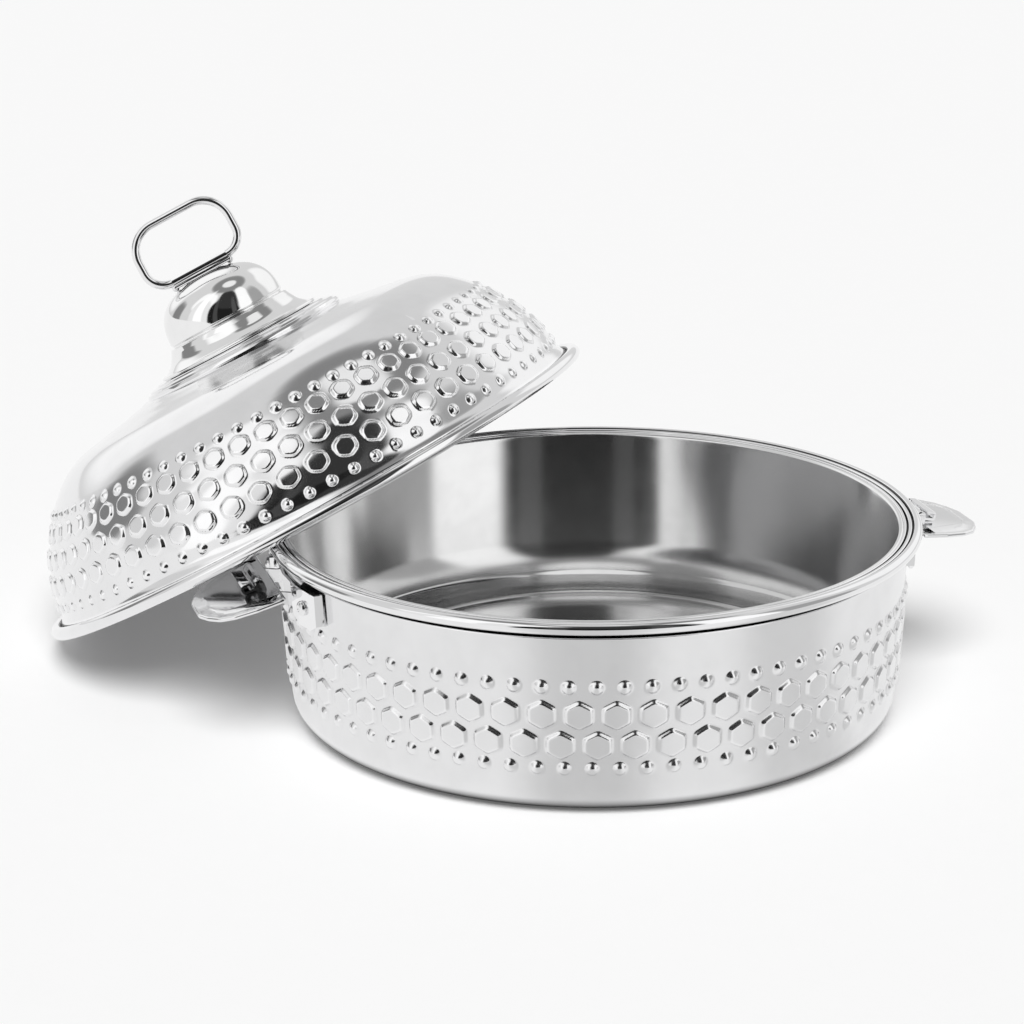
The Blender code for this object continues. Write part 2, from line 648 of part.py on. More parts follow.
def pivot_place(droop):
    """Place of a lever's pivot in its clasp's frame, with the lever drooping."""
    return (Matrix.Translation((LEVER_PIVOT_X, 0, LEVER_PIVOT_Z))
            @ Matrix.Rotation(droop, 4, "Y"))


def build_lever(side, pivot, collection, cutters):
    """The folded lever plate, the ears under it and the knuckles for the hook on it.

    Its origin is its pivot.
    """
    stations = ((-LEVER_TAIL / LEVER_LENGTH, 1.0),) + LEVER_OUTLINE_SHARES
    bm = bmesh.new()
    bmesh.ops.create_grid(bm, x_segments=len(stations) - 1, y_segments=1, size=1)
    for vert in bm.verts:
        station = stations[round((vert.co.x + 1) / 2 * (len(stations) - 1))]
        vert.co = lever_corner(station, vert.co.y)
    sides = [e for e in bm.edges if e.is_boundary
             and max(v.co.x for v in e.verts) > -LEVER_TAIL + GAP]
    folded = bmesh.ops.extrude_edge_only(bm, edges=sides)["geom"]
    for vert in (item for item in folded if isinstance(item, bmesh.types.BMVert)):
        vert.co.z -= LEVER_FOLD
    mesh = bpy.data.meshes.new("lever_" + side)
    bm.to_mesh(mesh)
    bm.free()
    lever = add_object("lever_" + side, mesh, collection, SATIN, pivot)
    sheet = lever.modifiers.new("Solidify", "SOLIDIFY")
    sheet.thickness = LEVER_SHEET
    sheet.offset = -1
    sheet.use_even_offset = True
    hook_z = hook_pivot_rise()
    middle = LEVER_RISE - LEVER_SHEET / 2
    knuckle = [(HOOK_PIVOT_X - HOOK_BARREL, middle), (HOOK_PIVOT_X + HOOK_BARREL, middle)]
    knuckle += arc(HOOK_PIVOT_X, hook_z, HOOK_BARREL, 0, 180, 2 * ARC_STEPS)
    ear = [(EAR_END, middle), (-EAR_END, middle)] + arc(0, 0, EAR_END, 180, 360, 2 * ARC_STEPS)
    for sign in (-1, 1):
        for label, outline, thickness, y in (
                ("knuckle", knuckle, KNUCKLE_SHEET, HOOK_HALF + GAP + KNUCKLE_SHEET / 2),
                ("ear", ear, EAR_SHEET, ear_middle())):
            tab = cut_from_sheet("%s_%s_%d" % (label, side, sign), outline, thickness, cutters,
                                 parent=pivot, place=Matrix.Translation((0, sign * y, 0)))
            combine(lever, tab, "UNION")
    for name, radius, spot in (("pivot", LEVER_PIN, (0, 0, 0)),
                               ("hook", HOOK_PIN, (HOOK_PIVOT_X, 0, hook_z))):
        label = "lever_%s_bore_%s" % (name, side)
        bore = add_object(label, bar_mesh(label, radius + GAP, 2 * LEVER_ROOT_HALF + OVERRUN),
                          cutters, parent=pivot, place=Matrix.Translation(spot))
        combine(lever, bore, "DIFFERENCE")
    return lever


def ear_middle():
    """Distance from the clasp's middle to the middle of an ear, just outside its lug."""
    return LUG_Y + LUG_SHEET / 2 + GAP + EAR_SHEET / 2


def hook_pivot_rise():
    """Height of the hook's pivot over the lever's."""
    return LEVER_RISE + GAP + HOOK_BARREL


def hook_outline():
    """Section of the hook round its own pivot: a barrel, an arm and a claw."""
    foot = -HOOK_BARREL
    arm_top = foot + HOOK_SHEET
    claw_top = arm_top + HOOK_MOUTH + HOOK_SHEET
    inside = HOOK_REACH - HOOK_SHEET
    barrel_end = math.degrees(math.asin(arm_top / HOOK_BARREL))
    barrel = arc(0, 0, HOOK_BARREL, barrel_end, 270, 2 * ARC_STEPS)
    heel = arc(HOOK_REACH - HOOK_BEND, foot + HOOK_BEND, HOOK_BEND, -90, 0, 2)
    crown = arc(HOOK_REACH - HOOK_BEND, claw_top - HOOK_BEND, HOOK_BEND, 0, 90, 2)
    lip = [(HOOK_REACH - HOOK_RETURN, claw_top), (HOOK_REACH - HOOK_RETURN, claw_top - HOOK_SHEET)]
    return barrel + heel + crown + lip + [(inside, claw_top - HOOK_SHEET), (inside, arm_top)]


def build_hook(side, pivot, collection, cutters):
    """The hook with the bore for its pin. Its origin is its pivot."""
    hook = cut_from_sheet("hook_" + side, hook_outline(), 2 * HOOK_HALF, collection, SATIN,
                          pivot)
    bore = add_object("hook_bore_" + side,
                      bar_mesh("hook_bore_" + side, HOOK_PIN + GAP, 2 * (HOOK_HALF + OVERRUN)),
                      cutters, parent=pivot)
    combine(hook, bore, "DIFFERENCE")


def build_clasp(side, azimuth, droop, shell, collection, cutters):
    """One clasp: bracket, rivets, lever and hook with their pins."""
    frame = add_empty("clasp_frame_" + side, collection, Matrix.Rotation(azimuth, 4, "Z"))
    bracket = build_bracket(side, frame, collection, cutters)
    build_rivets(side, frame, bracket, shell, collection, cutters)
    across = Matrix.Rotation(math.pi / 2, 4, "X")
    ear_face = ear_middle() + EAR_SHEET / 2
    turned("lever_pin_" + side,
           pin_outline(ear_face + GAP, LEVER_PIN, LEVER_PIN_HEAD, LEVER_PIN_HEAD_HEIGHT),
           collection, POLISHED, PIN_STEPS, frame, pivot_place(0) @ across)
    pivot = add_empty("lever_pivot_" + side, collection, pivot_place(droop), frame)
    build_lever(side, pivot, collection, cutters)
    hook_place = Matrix.Translation((HOOK_PIVOT_X, 0, hook_pivot_rise()))
    knuckle_end = HOOK_HALF + 2 * GAP + KNUCKLE_SHEET
    turned("hook_pin_" + side,
           pin_outline(knuckle_end, HOOK_PIN, HOOK_BARREL - GAP, HOOK_SHEET / 2),
           collection, POLISHED, PIN_STEPS, pivot, hook_place @ across)
    hook_pivot = add_empty("hook_pivot_" + side, collection, hook_place, pivot)
    build_hook(side, hook_pivot, collection, cutters)


def lid_outline():
    """Outer side of the lid's shell, from its flared foot to the stud's hole."""
    wall = [(LID_WALL_RADIUS * r, LID_HEIGHT * h) for r, h in LID_OUTLINE_SHARES]
    edge = inscribed(LID_RADIUS - 2 * LID_BEAD, ROUND_STEPS) - GAP
    crown = [(COLLAR_SHOULDER, LID_HEIGHT), (LID_HOLE, LID_HEIGHT)]
    return [(edge, LINER_EDGE_HEIGHT + GAP)] + wall + crown


def liner_outline():
    """Lower side of the lid's inner shell, from its middle to its flat edge."""
    wall_x = LID_RADIUS - 2 * LID_BEAD - GAP - LINER_FLANGE
    dome = [(wall_x * r, LINER_HEIGHT * h) for r, h in LINER_OUTLINE_SHARES]
    edge = LINER_EDGE_HEIGHT - SHEET
    return [(0, LINER_HEIGHT)] + dome[::-1] + [(wall_x, edge), (wall_x + LINER_FLANGE, edge)]


def build_lid(frame, collection):
    """The lid's two shells, insulation, rolled edge and neck collar.

    Returns the height that the knob stands on.
    """
    outline = lid_outline()
    inside = thinned(offset_outline(outline, -SHEET))
    band = HexBand(LID_HEX_COUNT, LID_HEX_ROW_COUNT, LID_HEX_TURN, LID_HEX_START, LID_HEX_STEP)
    embossed_shell("lid_outer_shell", outline, inside, band, collection, SATIN, frame)
    lowest = -90 + math.degrees(LID_TILT)
    turned("lid_rim_bead", arc(LID_RADIUS - LID_BEAD, 0, LID_BEAD, lowest, lowest + 315, 7),
           collection, POLISHED, ROUND_STEPS, frame)

    lower = liner_outline()
    upper = offset_outline(lower, -SHEET)
    turned("lid_inner_shell", upper + lower[::-1], collection, POLISHED, ROUND_STEPS, frame)

    air = INSULATION_AIR
    ceiling = [p for p in offset_outline(inside, -air)
               if p[1] > LID_INSULATION_FOOT and p[0] > LID_INSULATION_HOLE]
    over_liner = offset_outline(upper, -air)
    below = [p for p in over_liner if p[1] > LID_INSULATION_FOOT and p[0] > LID_INSULATION_HOLE]
    crown = LID_HEIGHT - SHEET - air
    foot_x = radius_at(over_liner, LID_INSULATION_FOOT)
    turned("lid_insulation",
           [(foot_x, LID_INSULATION_FOOT), (ceiling[0][0], LID_INSULATION_FOOT)] + ceiling
           + [(LID_INSULATION_HOLE, crown - air),
              (LID_INSULATION_HOLE, LINER_HEIGHT + SHEET + air)] + below,
           collection, FOAM, HIDDEN_STEPS, frame)

    foot = LID_HEIGHT + GAP
    crest = foot + COLLAR_THICKNESS
    edge_foot = height_at(outline[::-1], COLLAR_RADIUS) + GAP
    turned("lid_neck_collar",
           [(COLLAR_HOLE, foot), (COLLAR_HOLE, crest), (COLLAR_SHOULDER, crest),
            (COLLAR_RADIUS - COLLAR_EDGE / 2, crest - COLLAR_EDGE / 2),
            (COLLAR_RADIUS, crest - COLLAR_EDGE), (COLLAR_RADIUS, edge_foot),
            (COLLAR_SHOULDER, foot)],
           collection, POLISHED, SMALL_STEPS, frame)
    return crest + GAP


def knob_outline():
    """Outer side of the bell, from its crown down to the edge of its flange."""
    ball_height = KNOB_HEIGHT - KNOB_WAIST_HEIGHT
    ball = []
    steps = 2 * ARC_STEPS - 1
    for i in range(steps + 1):
        rise = math.cos(math.pi / 2 * i / steps)
        radius = KNOB_BALL_RADIUS * (1 - rise ** KNOB_BALL_POWER_SHARE) ** (
            1 / KNOB_BALL_POWER_SHARE)
        ball.append((radius, KNOB_WAIST_HEIGHT + ball_height * rise))
    ball[0] = (0.0, ball[0][1])
    groove = [(KNOB_WAIST_RADIUS - KNOB_GROOVE, KNOB_WAIST_HEIGHT - KNOB_GROOVE)]
    skirt = []
    for i in range(ARC_STEPS + 1):
        share = i / ARC_STEPS
        drop = KNOB_WAIST_HEIGHT - 2 * KNOB_GROOVE - KNOB_FLANGE_EDGE
        spread = KNOB_SKIRT_RADIUS - KNOB_WAIST_RADIUS
        skirt.append((KNOB_WAIST_RADIUS + spread * share ** KNOB_SKIRT_POWER_SHARE,
                      KNOB_FLANGE_EDGE + drop * (1 - share)))
    return ball + groove + skirt + [(KNOB_FLANGE_RADIUS, KNOB_FLANGE_EDGE / 2),
                                    (KNOB_FLANGE_RADIUS, 0)]


def build_knob(foot, frame, collection, cutters):
    """The bell, its stud, washer and nut. Returns the height of the bell's crown."""
    outer = knob_outline()
    inner = [(max(r - KNOB_SHEET, 0), h - KNOB_SHEET) for r, h in outer[:-2]]
    inner = [p for p in inner[::2] if p[1] > KNOB_SHEET]
    place = Matrix.Translation((0, 0, foot))
    turned("knob_bell", outer + [(inner[-1][0], 0)] + inner[::-1], collection, MIRROR,
           SMALL_STEPS, frame, place)

    head_top = foot + height_at(inner, STUD_HEAD_RADIUS) - GAP
    head_foot = head_top - STUD_HEAD_HEIGHT
    nut_top = LID_HEIGHT - SHEET - GAP - WASHER_THICKNESS - GAP
    stud_end = nut_top - NUT_HEIGHT - STUD_END
    turned("knob_stud", [(0, head_top), (STUD_HEAD_RADIUS, head_top),
                         (STUD_HEAD_RADIUS, head_foot), (STUD_RADIUS, head_foot),
                         (STUD_RADIUS, stud_end), (0, stud_end)],
           collection, DULL, PIN_STEPS, frame)
    hole = STUD_RADIUS + GAP
    turned("knob_washer", [(hole, nut_top + GAP), (WASHER_RADIUS, nut_top + GAP),
                           (WASHER_RADIUS, nut_top + GAP + WASHER_THICKNESS),
                           (hole, nut_top + GAP + WASHER_THICKNESS)],
           collection, DULL, PIN_STEPS, frame)
    corner = NUT_ACROSS / math.sqrt(3)
    nut = turned("knob_nut", [(0, nut_top), (corner, nut_top), (corner, nut_top - NUT_HEIGHT),
                              (0, nut_top - NUT_HEIGHT)],
                 collection, DULL, 6, frame)
    bore = add_object("nut_bore", bar_mesh("nut_bore", hole, 2 * NUT_HEIGHT), cutters,
                      parent=frame,
                      place=Matrix.Translation((0, 0, nut_top - NUT_HEIGHT / 2))
                      @ Matrix.Rotation(math.pi / 2, 4, "X"))
    combine(nut, bore, "DIFFERENCE")
    return foot + KNOB_HEIGHT


def ring_path():
    """Middle line of the ring's wire in its own X and Z, with the lower bar on z = 0."""
    half = RING_WIDTH / 2 - RING_WIRE
    high = RING_HEIGHT - 2 * RING_WIRE
    low_r, top_r = RING_FOOT_CORNER - RING_WIRE, RING_TOP_CORNER - RING_WIRE
    steps = RING_CORNER_STEPS
    return (arc(half - low_r, low_r, low_r, -90, 0, steps)
            + arc(half - top_r, high - top_r, top_r, 0, 90, steps)
            + arc(top_r - half, high - top_r, top_r, 90, 180, steps)
            + arc(low_r - half, low_r, low_r, 180, 270, steps))


def saddle_outline():
    """Section of the saddle in Y and Z round the ring's axis: a split channel on a foot."""
    inner = RING_WIRE + SADDLE_AIR
    outer = inner + SADDLE_SHEET
    mouth = math.degrees(SADDLE_MOUTH)
    right, left = 90 - mouth, 90 + mouth
    return (arc(0, 0, outer, -40, right, ARC_STEPS)
            + arc(0, 0, inner, right, left - 360, 3 * ARC_STEPS)
            + arc(0, 0, outer, left, 220, ARC_STEPS)
            + [(-SADDLE_FOOT_HALF, -outer), (SADDLE_FOOT_HALF, -outer)])


def build_ring(crown, frame, collection):
    """The saddle on the bell's crown, and the ring that swings in it."""
    axis = crown + GAP + RING_WIRE + SADDLE_AIR + SADDLE_SHEET
    place = Matrix.Rotation(RING_TURN, 4, "Z") @ Matrix.Translation((0, 0, axis))
    saddle_place = place @ Matrix.Rotation(math.pi / 2, 4, "Z")
    cut_from_sheet("ring_saddle", saddle_outline(), SADDLE_LENGTH, collection, POLISHED, frame,
                   saddle_place)
    curve = bpy.data.curves.new("ring_handle", "CURVE")
    curve.dimensions = "3D"
    curve.bevel_depth = RING_WIRE
    curve.bevel_resolution = 2
    curve.render_resolution_u = 0
    path = ring_path()
    spline = curve.splines.new("POLY")
    spline.points.add(len(path) - 1)
    for point, (x, z) in zip(spline.points, path):
        point.co = (x, 0, z, 1)
    spline.use_cyclic_u = True
    add_object("ring_handle", curve, collection, MIRROR, frame, place)


def lid_at(distance):
    """Place of the tilted lid with its edge on the table and its centre at a distance."""
    height = (LID_RADIUS - LID_BEAD) * math.sin(LID_TILT) + LID_BEAD
    centre = Vector((math.cos(LID_BEARING), math.sin(LID_BEARING))) * distance
    return (Matrix.Translation((centre.x, centre.y, height)) @ Matrix.Rotation(LID_LEAN, 4, "Z")
            @ Matrix.Rotation(LID_TILT, 4, "Y"))


def edge_to_rim(place):
    """Smallest distance between the middle lines of the lid's rolled edge and the rim."""
    nearest = []
    for i in range(SEAT_SAMPLE_COUNT):
        turn = 2 * math.pi * i / SEAT_SAMPLE_COUNT
        spot = place @ (Vector((math.cos(turn), math.sin(turn), 0)) * (LID_RADIUS - LID_BEAD))
        away = math.hypot(spot.x, spot.y) - (RIM_RADIUS - RIM_BEAD)
        nearest.append(math.hypot(away, spot.z - (RIM_TOP - RIM_BEAD)))
    return min(nearest)


def lid_place():
    """Place where the lid leans on the rim: moved out until its edge just clears it."""
    near, far = RIM_RADIUS / 2, RIM_RADIUS + LID_RADIUS
    for _ in range(SEARCH_STEPS):
        middle = (near + far) / 2
        if edge_to_rim(lid_at(middle)) < RIM_BEAD + LID_BEAD + GAP:
            near = middle
        else:
            far = middle
    return lid_at(far)


def lever_room(azimuth, droop, lid):
    """Smallest distance from a drooping lever's plate to the plane of the lid's edge.

    Past that edge the distance is taken to the edge's middle line.
    """
    to_lid = lid.inverted() @ Matrix.Rotation(azimuth, 4, "Z") @ pivot_place(droop)
    room = []
    for station in LEVER_OUTLINE_SHARES:
        for side in (-1, 1):
            spot = to_lid @ lever_corner(station, side)
            past = math.hypot(spot.x, spot.y) - (LID_RADIUS - LID_BEAD)
            room.append(math.hypot(past, spot.z) if past > 0 else -spot.z)
    return min(room)


def droop_under(lid, azimuth):
    """Droop at which a lever just clears the lid that leans over it."""
    blocked, clear = RIGHT_DROOP, LAST_DROOP
    for _ in range(SEARCH_STEPS):
        middle = (blocked + clear) / 2
        if lever_room(azimuth, middle, lid) < LID_BEAD + GAP:
            blocked = middle
        else:
            clear = middle
    return clear


def shade_round(collection):
    """Shade the round pieces smooth and keep their folds sharp."""
    for piece in collection.objects:
        if piece.type == "MESH":
            piece.data.shade_smooth()
            piece.data.set_sharp_from_angle(angle=math.radians(35))


def main():
    """Build the casserole."""
    clear_scene()
    casserole = new_collection("chapati_casserole")
    cutters = new_collection("cutters")
    shell = build_pot(casserole, cutters)
    build_clasp("right", CLASP_AZIMUTH, RIGHT_DROOP, shell, casserole, cutters)
    lid, left = lid_place(), CLASP_AZIMUTH + math.pi
    build_clasp("left", left, droop_under(lid, left), shell, casserole, cutters)
    lid_frame = add_empty("lid_frame", casserole, lid)
    knob_foot = build_lid(lid_frame, casserole)
    crown = build_knob(knob_foot, lid_frame, casserole, cutters)
    build_ring(crown, lid_frame, casserole)
    shade_round(casserole)


main()
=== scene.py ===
"""Looks of the insulated chapati casserole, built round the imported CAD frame.

Every length is in metres, +Z is up, the pot stands on z = 0 at the origin and
the camera looks from -Y. Each sub-assembly is a class with its sizes as fields
and methods that build its meshes and dress them.
"""

import logging
import math
from dataclasses import dataclass
from enum import Enum
from typing import Any, Callable, Optional, Sequence, Union

import bmesh
import bpy
import numpy as np
from mathutils import Matrix, Vector


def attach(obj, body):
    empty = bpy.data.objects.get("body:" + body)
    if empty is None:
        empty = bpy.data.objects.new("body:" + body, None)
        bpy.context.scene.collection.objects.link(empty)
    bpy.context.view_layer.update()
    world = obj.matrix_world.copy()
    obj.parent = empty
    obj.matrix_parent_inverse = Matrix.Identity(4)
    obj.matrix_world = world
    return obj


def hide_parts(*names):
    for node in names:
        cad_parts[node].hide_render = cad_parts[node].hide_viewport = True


Pair = tuple[float, float]
Triple = tuple[float, float, float]
Point = Pair
Colour = Triple
Corner = Triple

AXIS_GUARD = 1e-8  # Square metres added so that nothing is divided by nought on the axis.
DULLED = 0.10  # Share of the colour that full handling takes.
QUARTER_TURN = 0.25
ON_AXIS = 1e-6  # A point nearer to the axis than this, in metres, is on it.
FILLET_SHARE = 0.48  # Share of an outline's side that one fillet may take.
SAME_SPOT = 1e-5  # Points nearer to each other than this, in metres, are one.
DEGREES = 180 / math.pi
SHARP = 35.0  # Angle in degrees from which an edge counts as sharp.
FOLD_SHARP = 40.0  # The same angle on a folded plate.

log = logging.getLogger("casserole")
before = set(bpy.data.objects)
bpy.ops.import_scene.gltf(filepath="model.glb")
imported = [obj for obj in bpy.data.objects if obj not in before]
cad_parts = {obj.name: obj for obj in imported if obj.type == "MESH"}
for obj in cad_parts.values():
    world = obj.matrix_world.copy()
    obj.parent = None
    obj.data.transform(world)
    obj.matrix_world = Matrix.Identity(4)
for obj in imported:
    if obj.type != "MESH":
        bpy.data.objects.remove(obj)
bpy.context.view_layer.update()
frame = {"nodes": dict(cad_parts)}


# Shader values


class Signal:
    """One output of a shader node, on which Python expressions build Math nodes."""

    def __init__(self, graph: "Graph", socket: bpy.types.NodeSocket) -> None:
        """Wrap an output socket of a node in a graph's tree."""
        self.graph = graph
        self.socket = socket

    def math(self, operation: str, *others: Any) -> "Signal":
        """Return this value and others put through one Math node."""
        values = dict(enumerate((self, *others)))
        return self.graph.signal("ShaderNodeMath", {"operation": operation}, values)

    def swapped(self, operation: str, other: Any) -> "Signal":
        """Return other and this value, in that order, put through one Math node."""
        return self.graph.signal("ShaderNodeMath", {"operation": operation}, {0: other, 1: self})

    def __add__(self, other: Any) -> "Signal":
        """Return self + other."""
        return self.math("ADD", other)

    def __radd__(self, other: Any) -> "Signal":
        """Return other + self."""
        return self.math("ADD", other)

    def __sub__(self, other: Any) -> "Signal":
        """Return self - other."""
        return self.math("SUBTRACT", other)

    def __rsub__(self, other: Any) -> "Signal":
        """Return other - self."""
        return self.swapped("SUBTRACT", other)

    def __mul__(self, other: Any) -> "Signal":
        """Return self * other."""
        return self.math("MULTIPLY", other)

    def __rmul__(self, other: Any) -> "Signal":
        """Return other * self."""
        return self.math("MULTIPLY", other)

    def __truediv__(self, other: Any) -> "Signal":
        """Return self / other."""
        return self.math("DIVIDE", other)

    def __rtruediv__(self, other: Any) -> "Signal":
        """Return other / self."""
        return self.swapped("DIVIDE", other)

    def __pow__(self, other: Any) -> "Signal":
        """Return self raised to a power."""
        return self.math("POWER", other)

    def __rpow__(self, other: Any) -> "Signal":
        """Return other raised to the power of self."""
        return self.swapped("POWER", other)

    def __neg__(self) -> "Signal":
        """Return the value with its sign turned."""
        return self.math("MULTIPLY", -1.0)

    def clamped(self) -> "Signal":
        """Return the value held between nought and one."""
        return self.math("MAXIMUM", 0.0).math("MINIMUM", 1.0)

    def step(self, low: float, high: float) -> "Signal":
        """Return a smooth step.

        Args:
            low: The value at which the step starts.
            high: The value at which it ends.

        Returns:
            A signal that is 0 before low and 1 after high.
        """
        return self.graph.signal(
            "ShaderNodeMapRange",
            {"interpolation_type": "SMOOTHSTEP", "clamp": True},
            {0: self, 1: low, 2: high, 3: 0.0, 4: 1.0},
        )

    def between(self, low: float, high: float, soft: float) -> "Signal":
        """Return 1 between two values and 0 outside, with edges that fade over twice soft."""
        return self.step(low - soft, low + soft) * (1.0 - self.step(high - soft, high + soft))


class Graph:
    """A node tree with one method that makes every node."""

    def __init__(self, tree: bpy.types.NodeTree) -> None:
        """Take over the node tree of a material or world and empty it."""
        self.tree = tree
        tree.nodes.clear()

    def node(
        self, kind: str, settings: Optional[dict] = None, values: Optional[dict] = None
    ) -> bpy.types.Node:
        """Make a node.

        Args:
            kind: The node's type name.
            settings: Properties of the node, set before its sockets.
            values: Numbers, colours or signals for its input sockets.

        Returns:
            The new node.
        """
        made = self.tree.nodes.new(kind)
        for name, value in (settings or {}).items():
            setattr(made, name, value)
        for key, value in (values or {}).items():
            socket = made.inputs[key]
            if isinstance(value, Signal):
                self.tree.links.new(value.socket, socket)
            elif isinstance(value, bpy.types.NodeSocket):
                self.tree.links.new(value, socket)
            else:
                socket.default_value = value
        return made

    def signal(
        self,
        kind: str,
        settings: Optional[dict] = None,
        values: Optional[dict] = None,
        output: Any = 0,
    ) -> Signal:
        """Make a node and return one of its outputs, given by number or name, as a signal."""
        return Signal(self, self.node(kind, settings, values).outputs[output])

    def vector(self, x: Any, y: Any, z: Any) -> Signal:
        """Return three values as one vector."""
        return self.signal("ShaderNodeCombineXYZ", {}, {0: x, 1: y, 2: z})

    def parts(self, vector: Any) -> tuple[Signal, ...]:
        """Return a vector's three values."""
        split = self.node("ShaderNodeSeparateXYZ", {}, {0: vector})
        return tuple(Signal(self, split.outputs[i]) for i in range(3))

    def noise(self, vector: Any, scale: float, detail: float = 2.0, rough: float = 0.5) -> Signal:
        """Return noise in three dimensions.

        Args:
            vector: The position at which it is read.
            scale: Cells for each unit of the position.
            detail: Octaves of finer noise.
            rough: Strength of each octave against the one before.

        Returns:
            A signal between nought and one.
        """
        return self.signal(
            "ShaderNodeTexNoise",
            {"noise_dimensions": "3D"},
            {"Vector": vector, "Scale": scale, "Detail": detail, "Roughness": rough},
        )

    def rays(self, *kinds: str) -> tuple[Signal, ...]:
        """Return for each kind of ray a signal that is 1 on it and 0 on others."""
        path = self.node("ShaderNodeLightPath")
        return tuple(Signal(self, path.outputs[kind]) for kind in kinds)

    def bump(self, height: Signal) -> Signal:
        """Return the normal of a surface with a height in metres."""
        values = {"Strength": 1.0, "Distance": 1.0, "Height": height}
        return self.signal("ShaderNodeBump", {}, values)

    def place_in(self, axes: Matrix) -> Signal:
        """Return the position on the piece, measured in other axes.

        Args:
            axes: Place of the axes in the part's frame.

        Returns:
            The position along those axes.
        """
        place = self.signal("ShaderNodeTexCoord", {}, {}, "Object")
        if axes == Matrix.Identity(4):
            return place
        values = {"Vector": place, "Location": axes.translation, "Rotation": axes.to_euler()}
        return self.signal("ShaderNodeMapping", {"vector_type": "TEXTURE"}, values)

    def mix(self, factor: Any, first: Any, second: Any) -> Signal:
        """Return two colours mixed by a factor.

        Args:
            factor: Share of the second colour.
            first: Colour at nought.
            second: Colour at one.

        Returns:
            The mixed colour.
        """
        return self.signal(
            "ShaderNodeMix", {"data_type": "RGBA"}, {0: factor, 6: first, 7: second}, 2
        )


def opaque(colour: Colour) -> tuple[float, float, float, float]:
    """Return a colour with full alpha.

    Args:
        colour: Red, green and blue.

    Returns:
        The colour and its alpha.
    """
    return (*colour, 1.0)


def scaled(colour: Colour, share: float) -> tuple[float, float, float, float]:
    """Return an opaque colour made darker or brighter, and no brighter than white.

    Args:
        colour: Red, green and blue.
        share: Brightness of the new colour against the old one.

    Returns:
        The new colour and its alpha.
    """
    return opaque(tuple(min(1.0, value * share) for value in colour))


def new_paint(name: str) -> tuple[bpy.types.Material, Graph]:
    """Return a new material and its emptied node tree.

    Args:
        name: Name of the material.

    Returns:
        The material and its nodes.
    """
    made = bpy.data.materials.new(name)
    made.use_nodes = True
    return made, Graph(made.node_tree)


def show(graph: Graph, shader: bpy.types.Node) -> None:
    """Send a shader to the material's output.

    Args:
        graph: The material's nodes.
        shader: The node whose first output is shown.
    """
    graph.node("ShaderNodeOutputMaterial", {}, {"Surface": shader.outputs[0]})


class Grain(Enum):
    """The way in which a steel surface was worked.

    Each value holds the noise cells round the axis, the cells per metre across the lines, and
    the noise's detail and roughness.
    """

    TURNED = (3.0, 2600.0, 3.0, 0.65)
    SATIN = (26.0, 1900.0, 2.0, 0.6)
    POLISHED = (0.0, 2300.0, 2.0, 0.5)


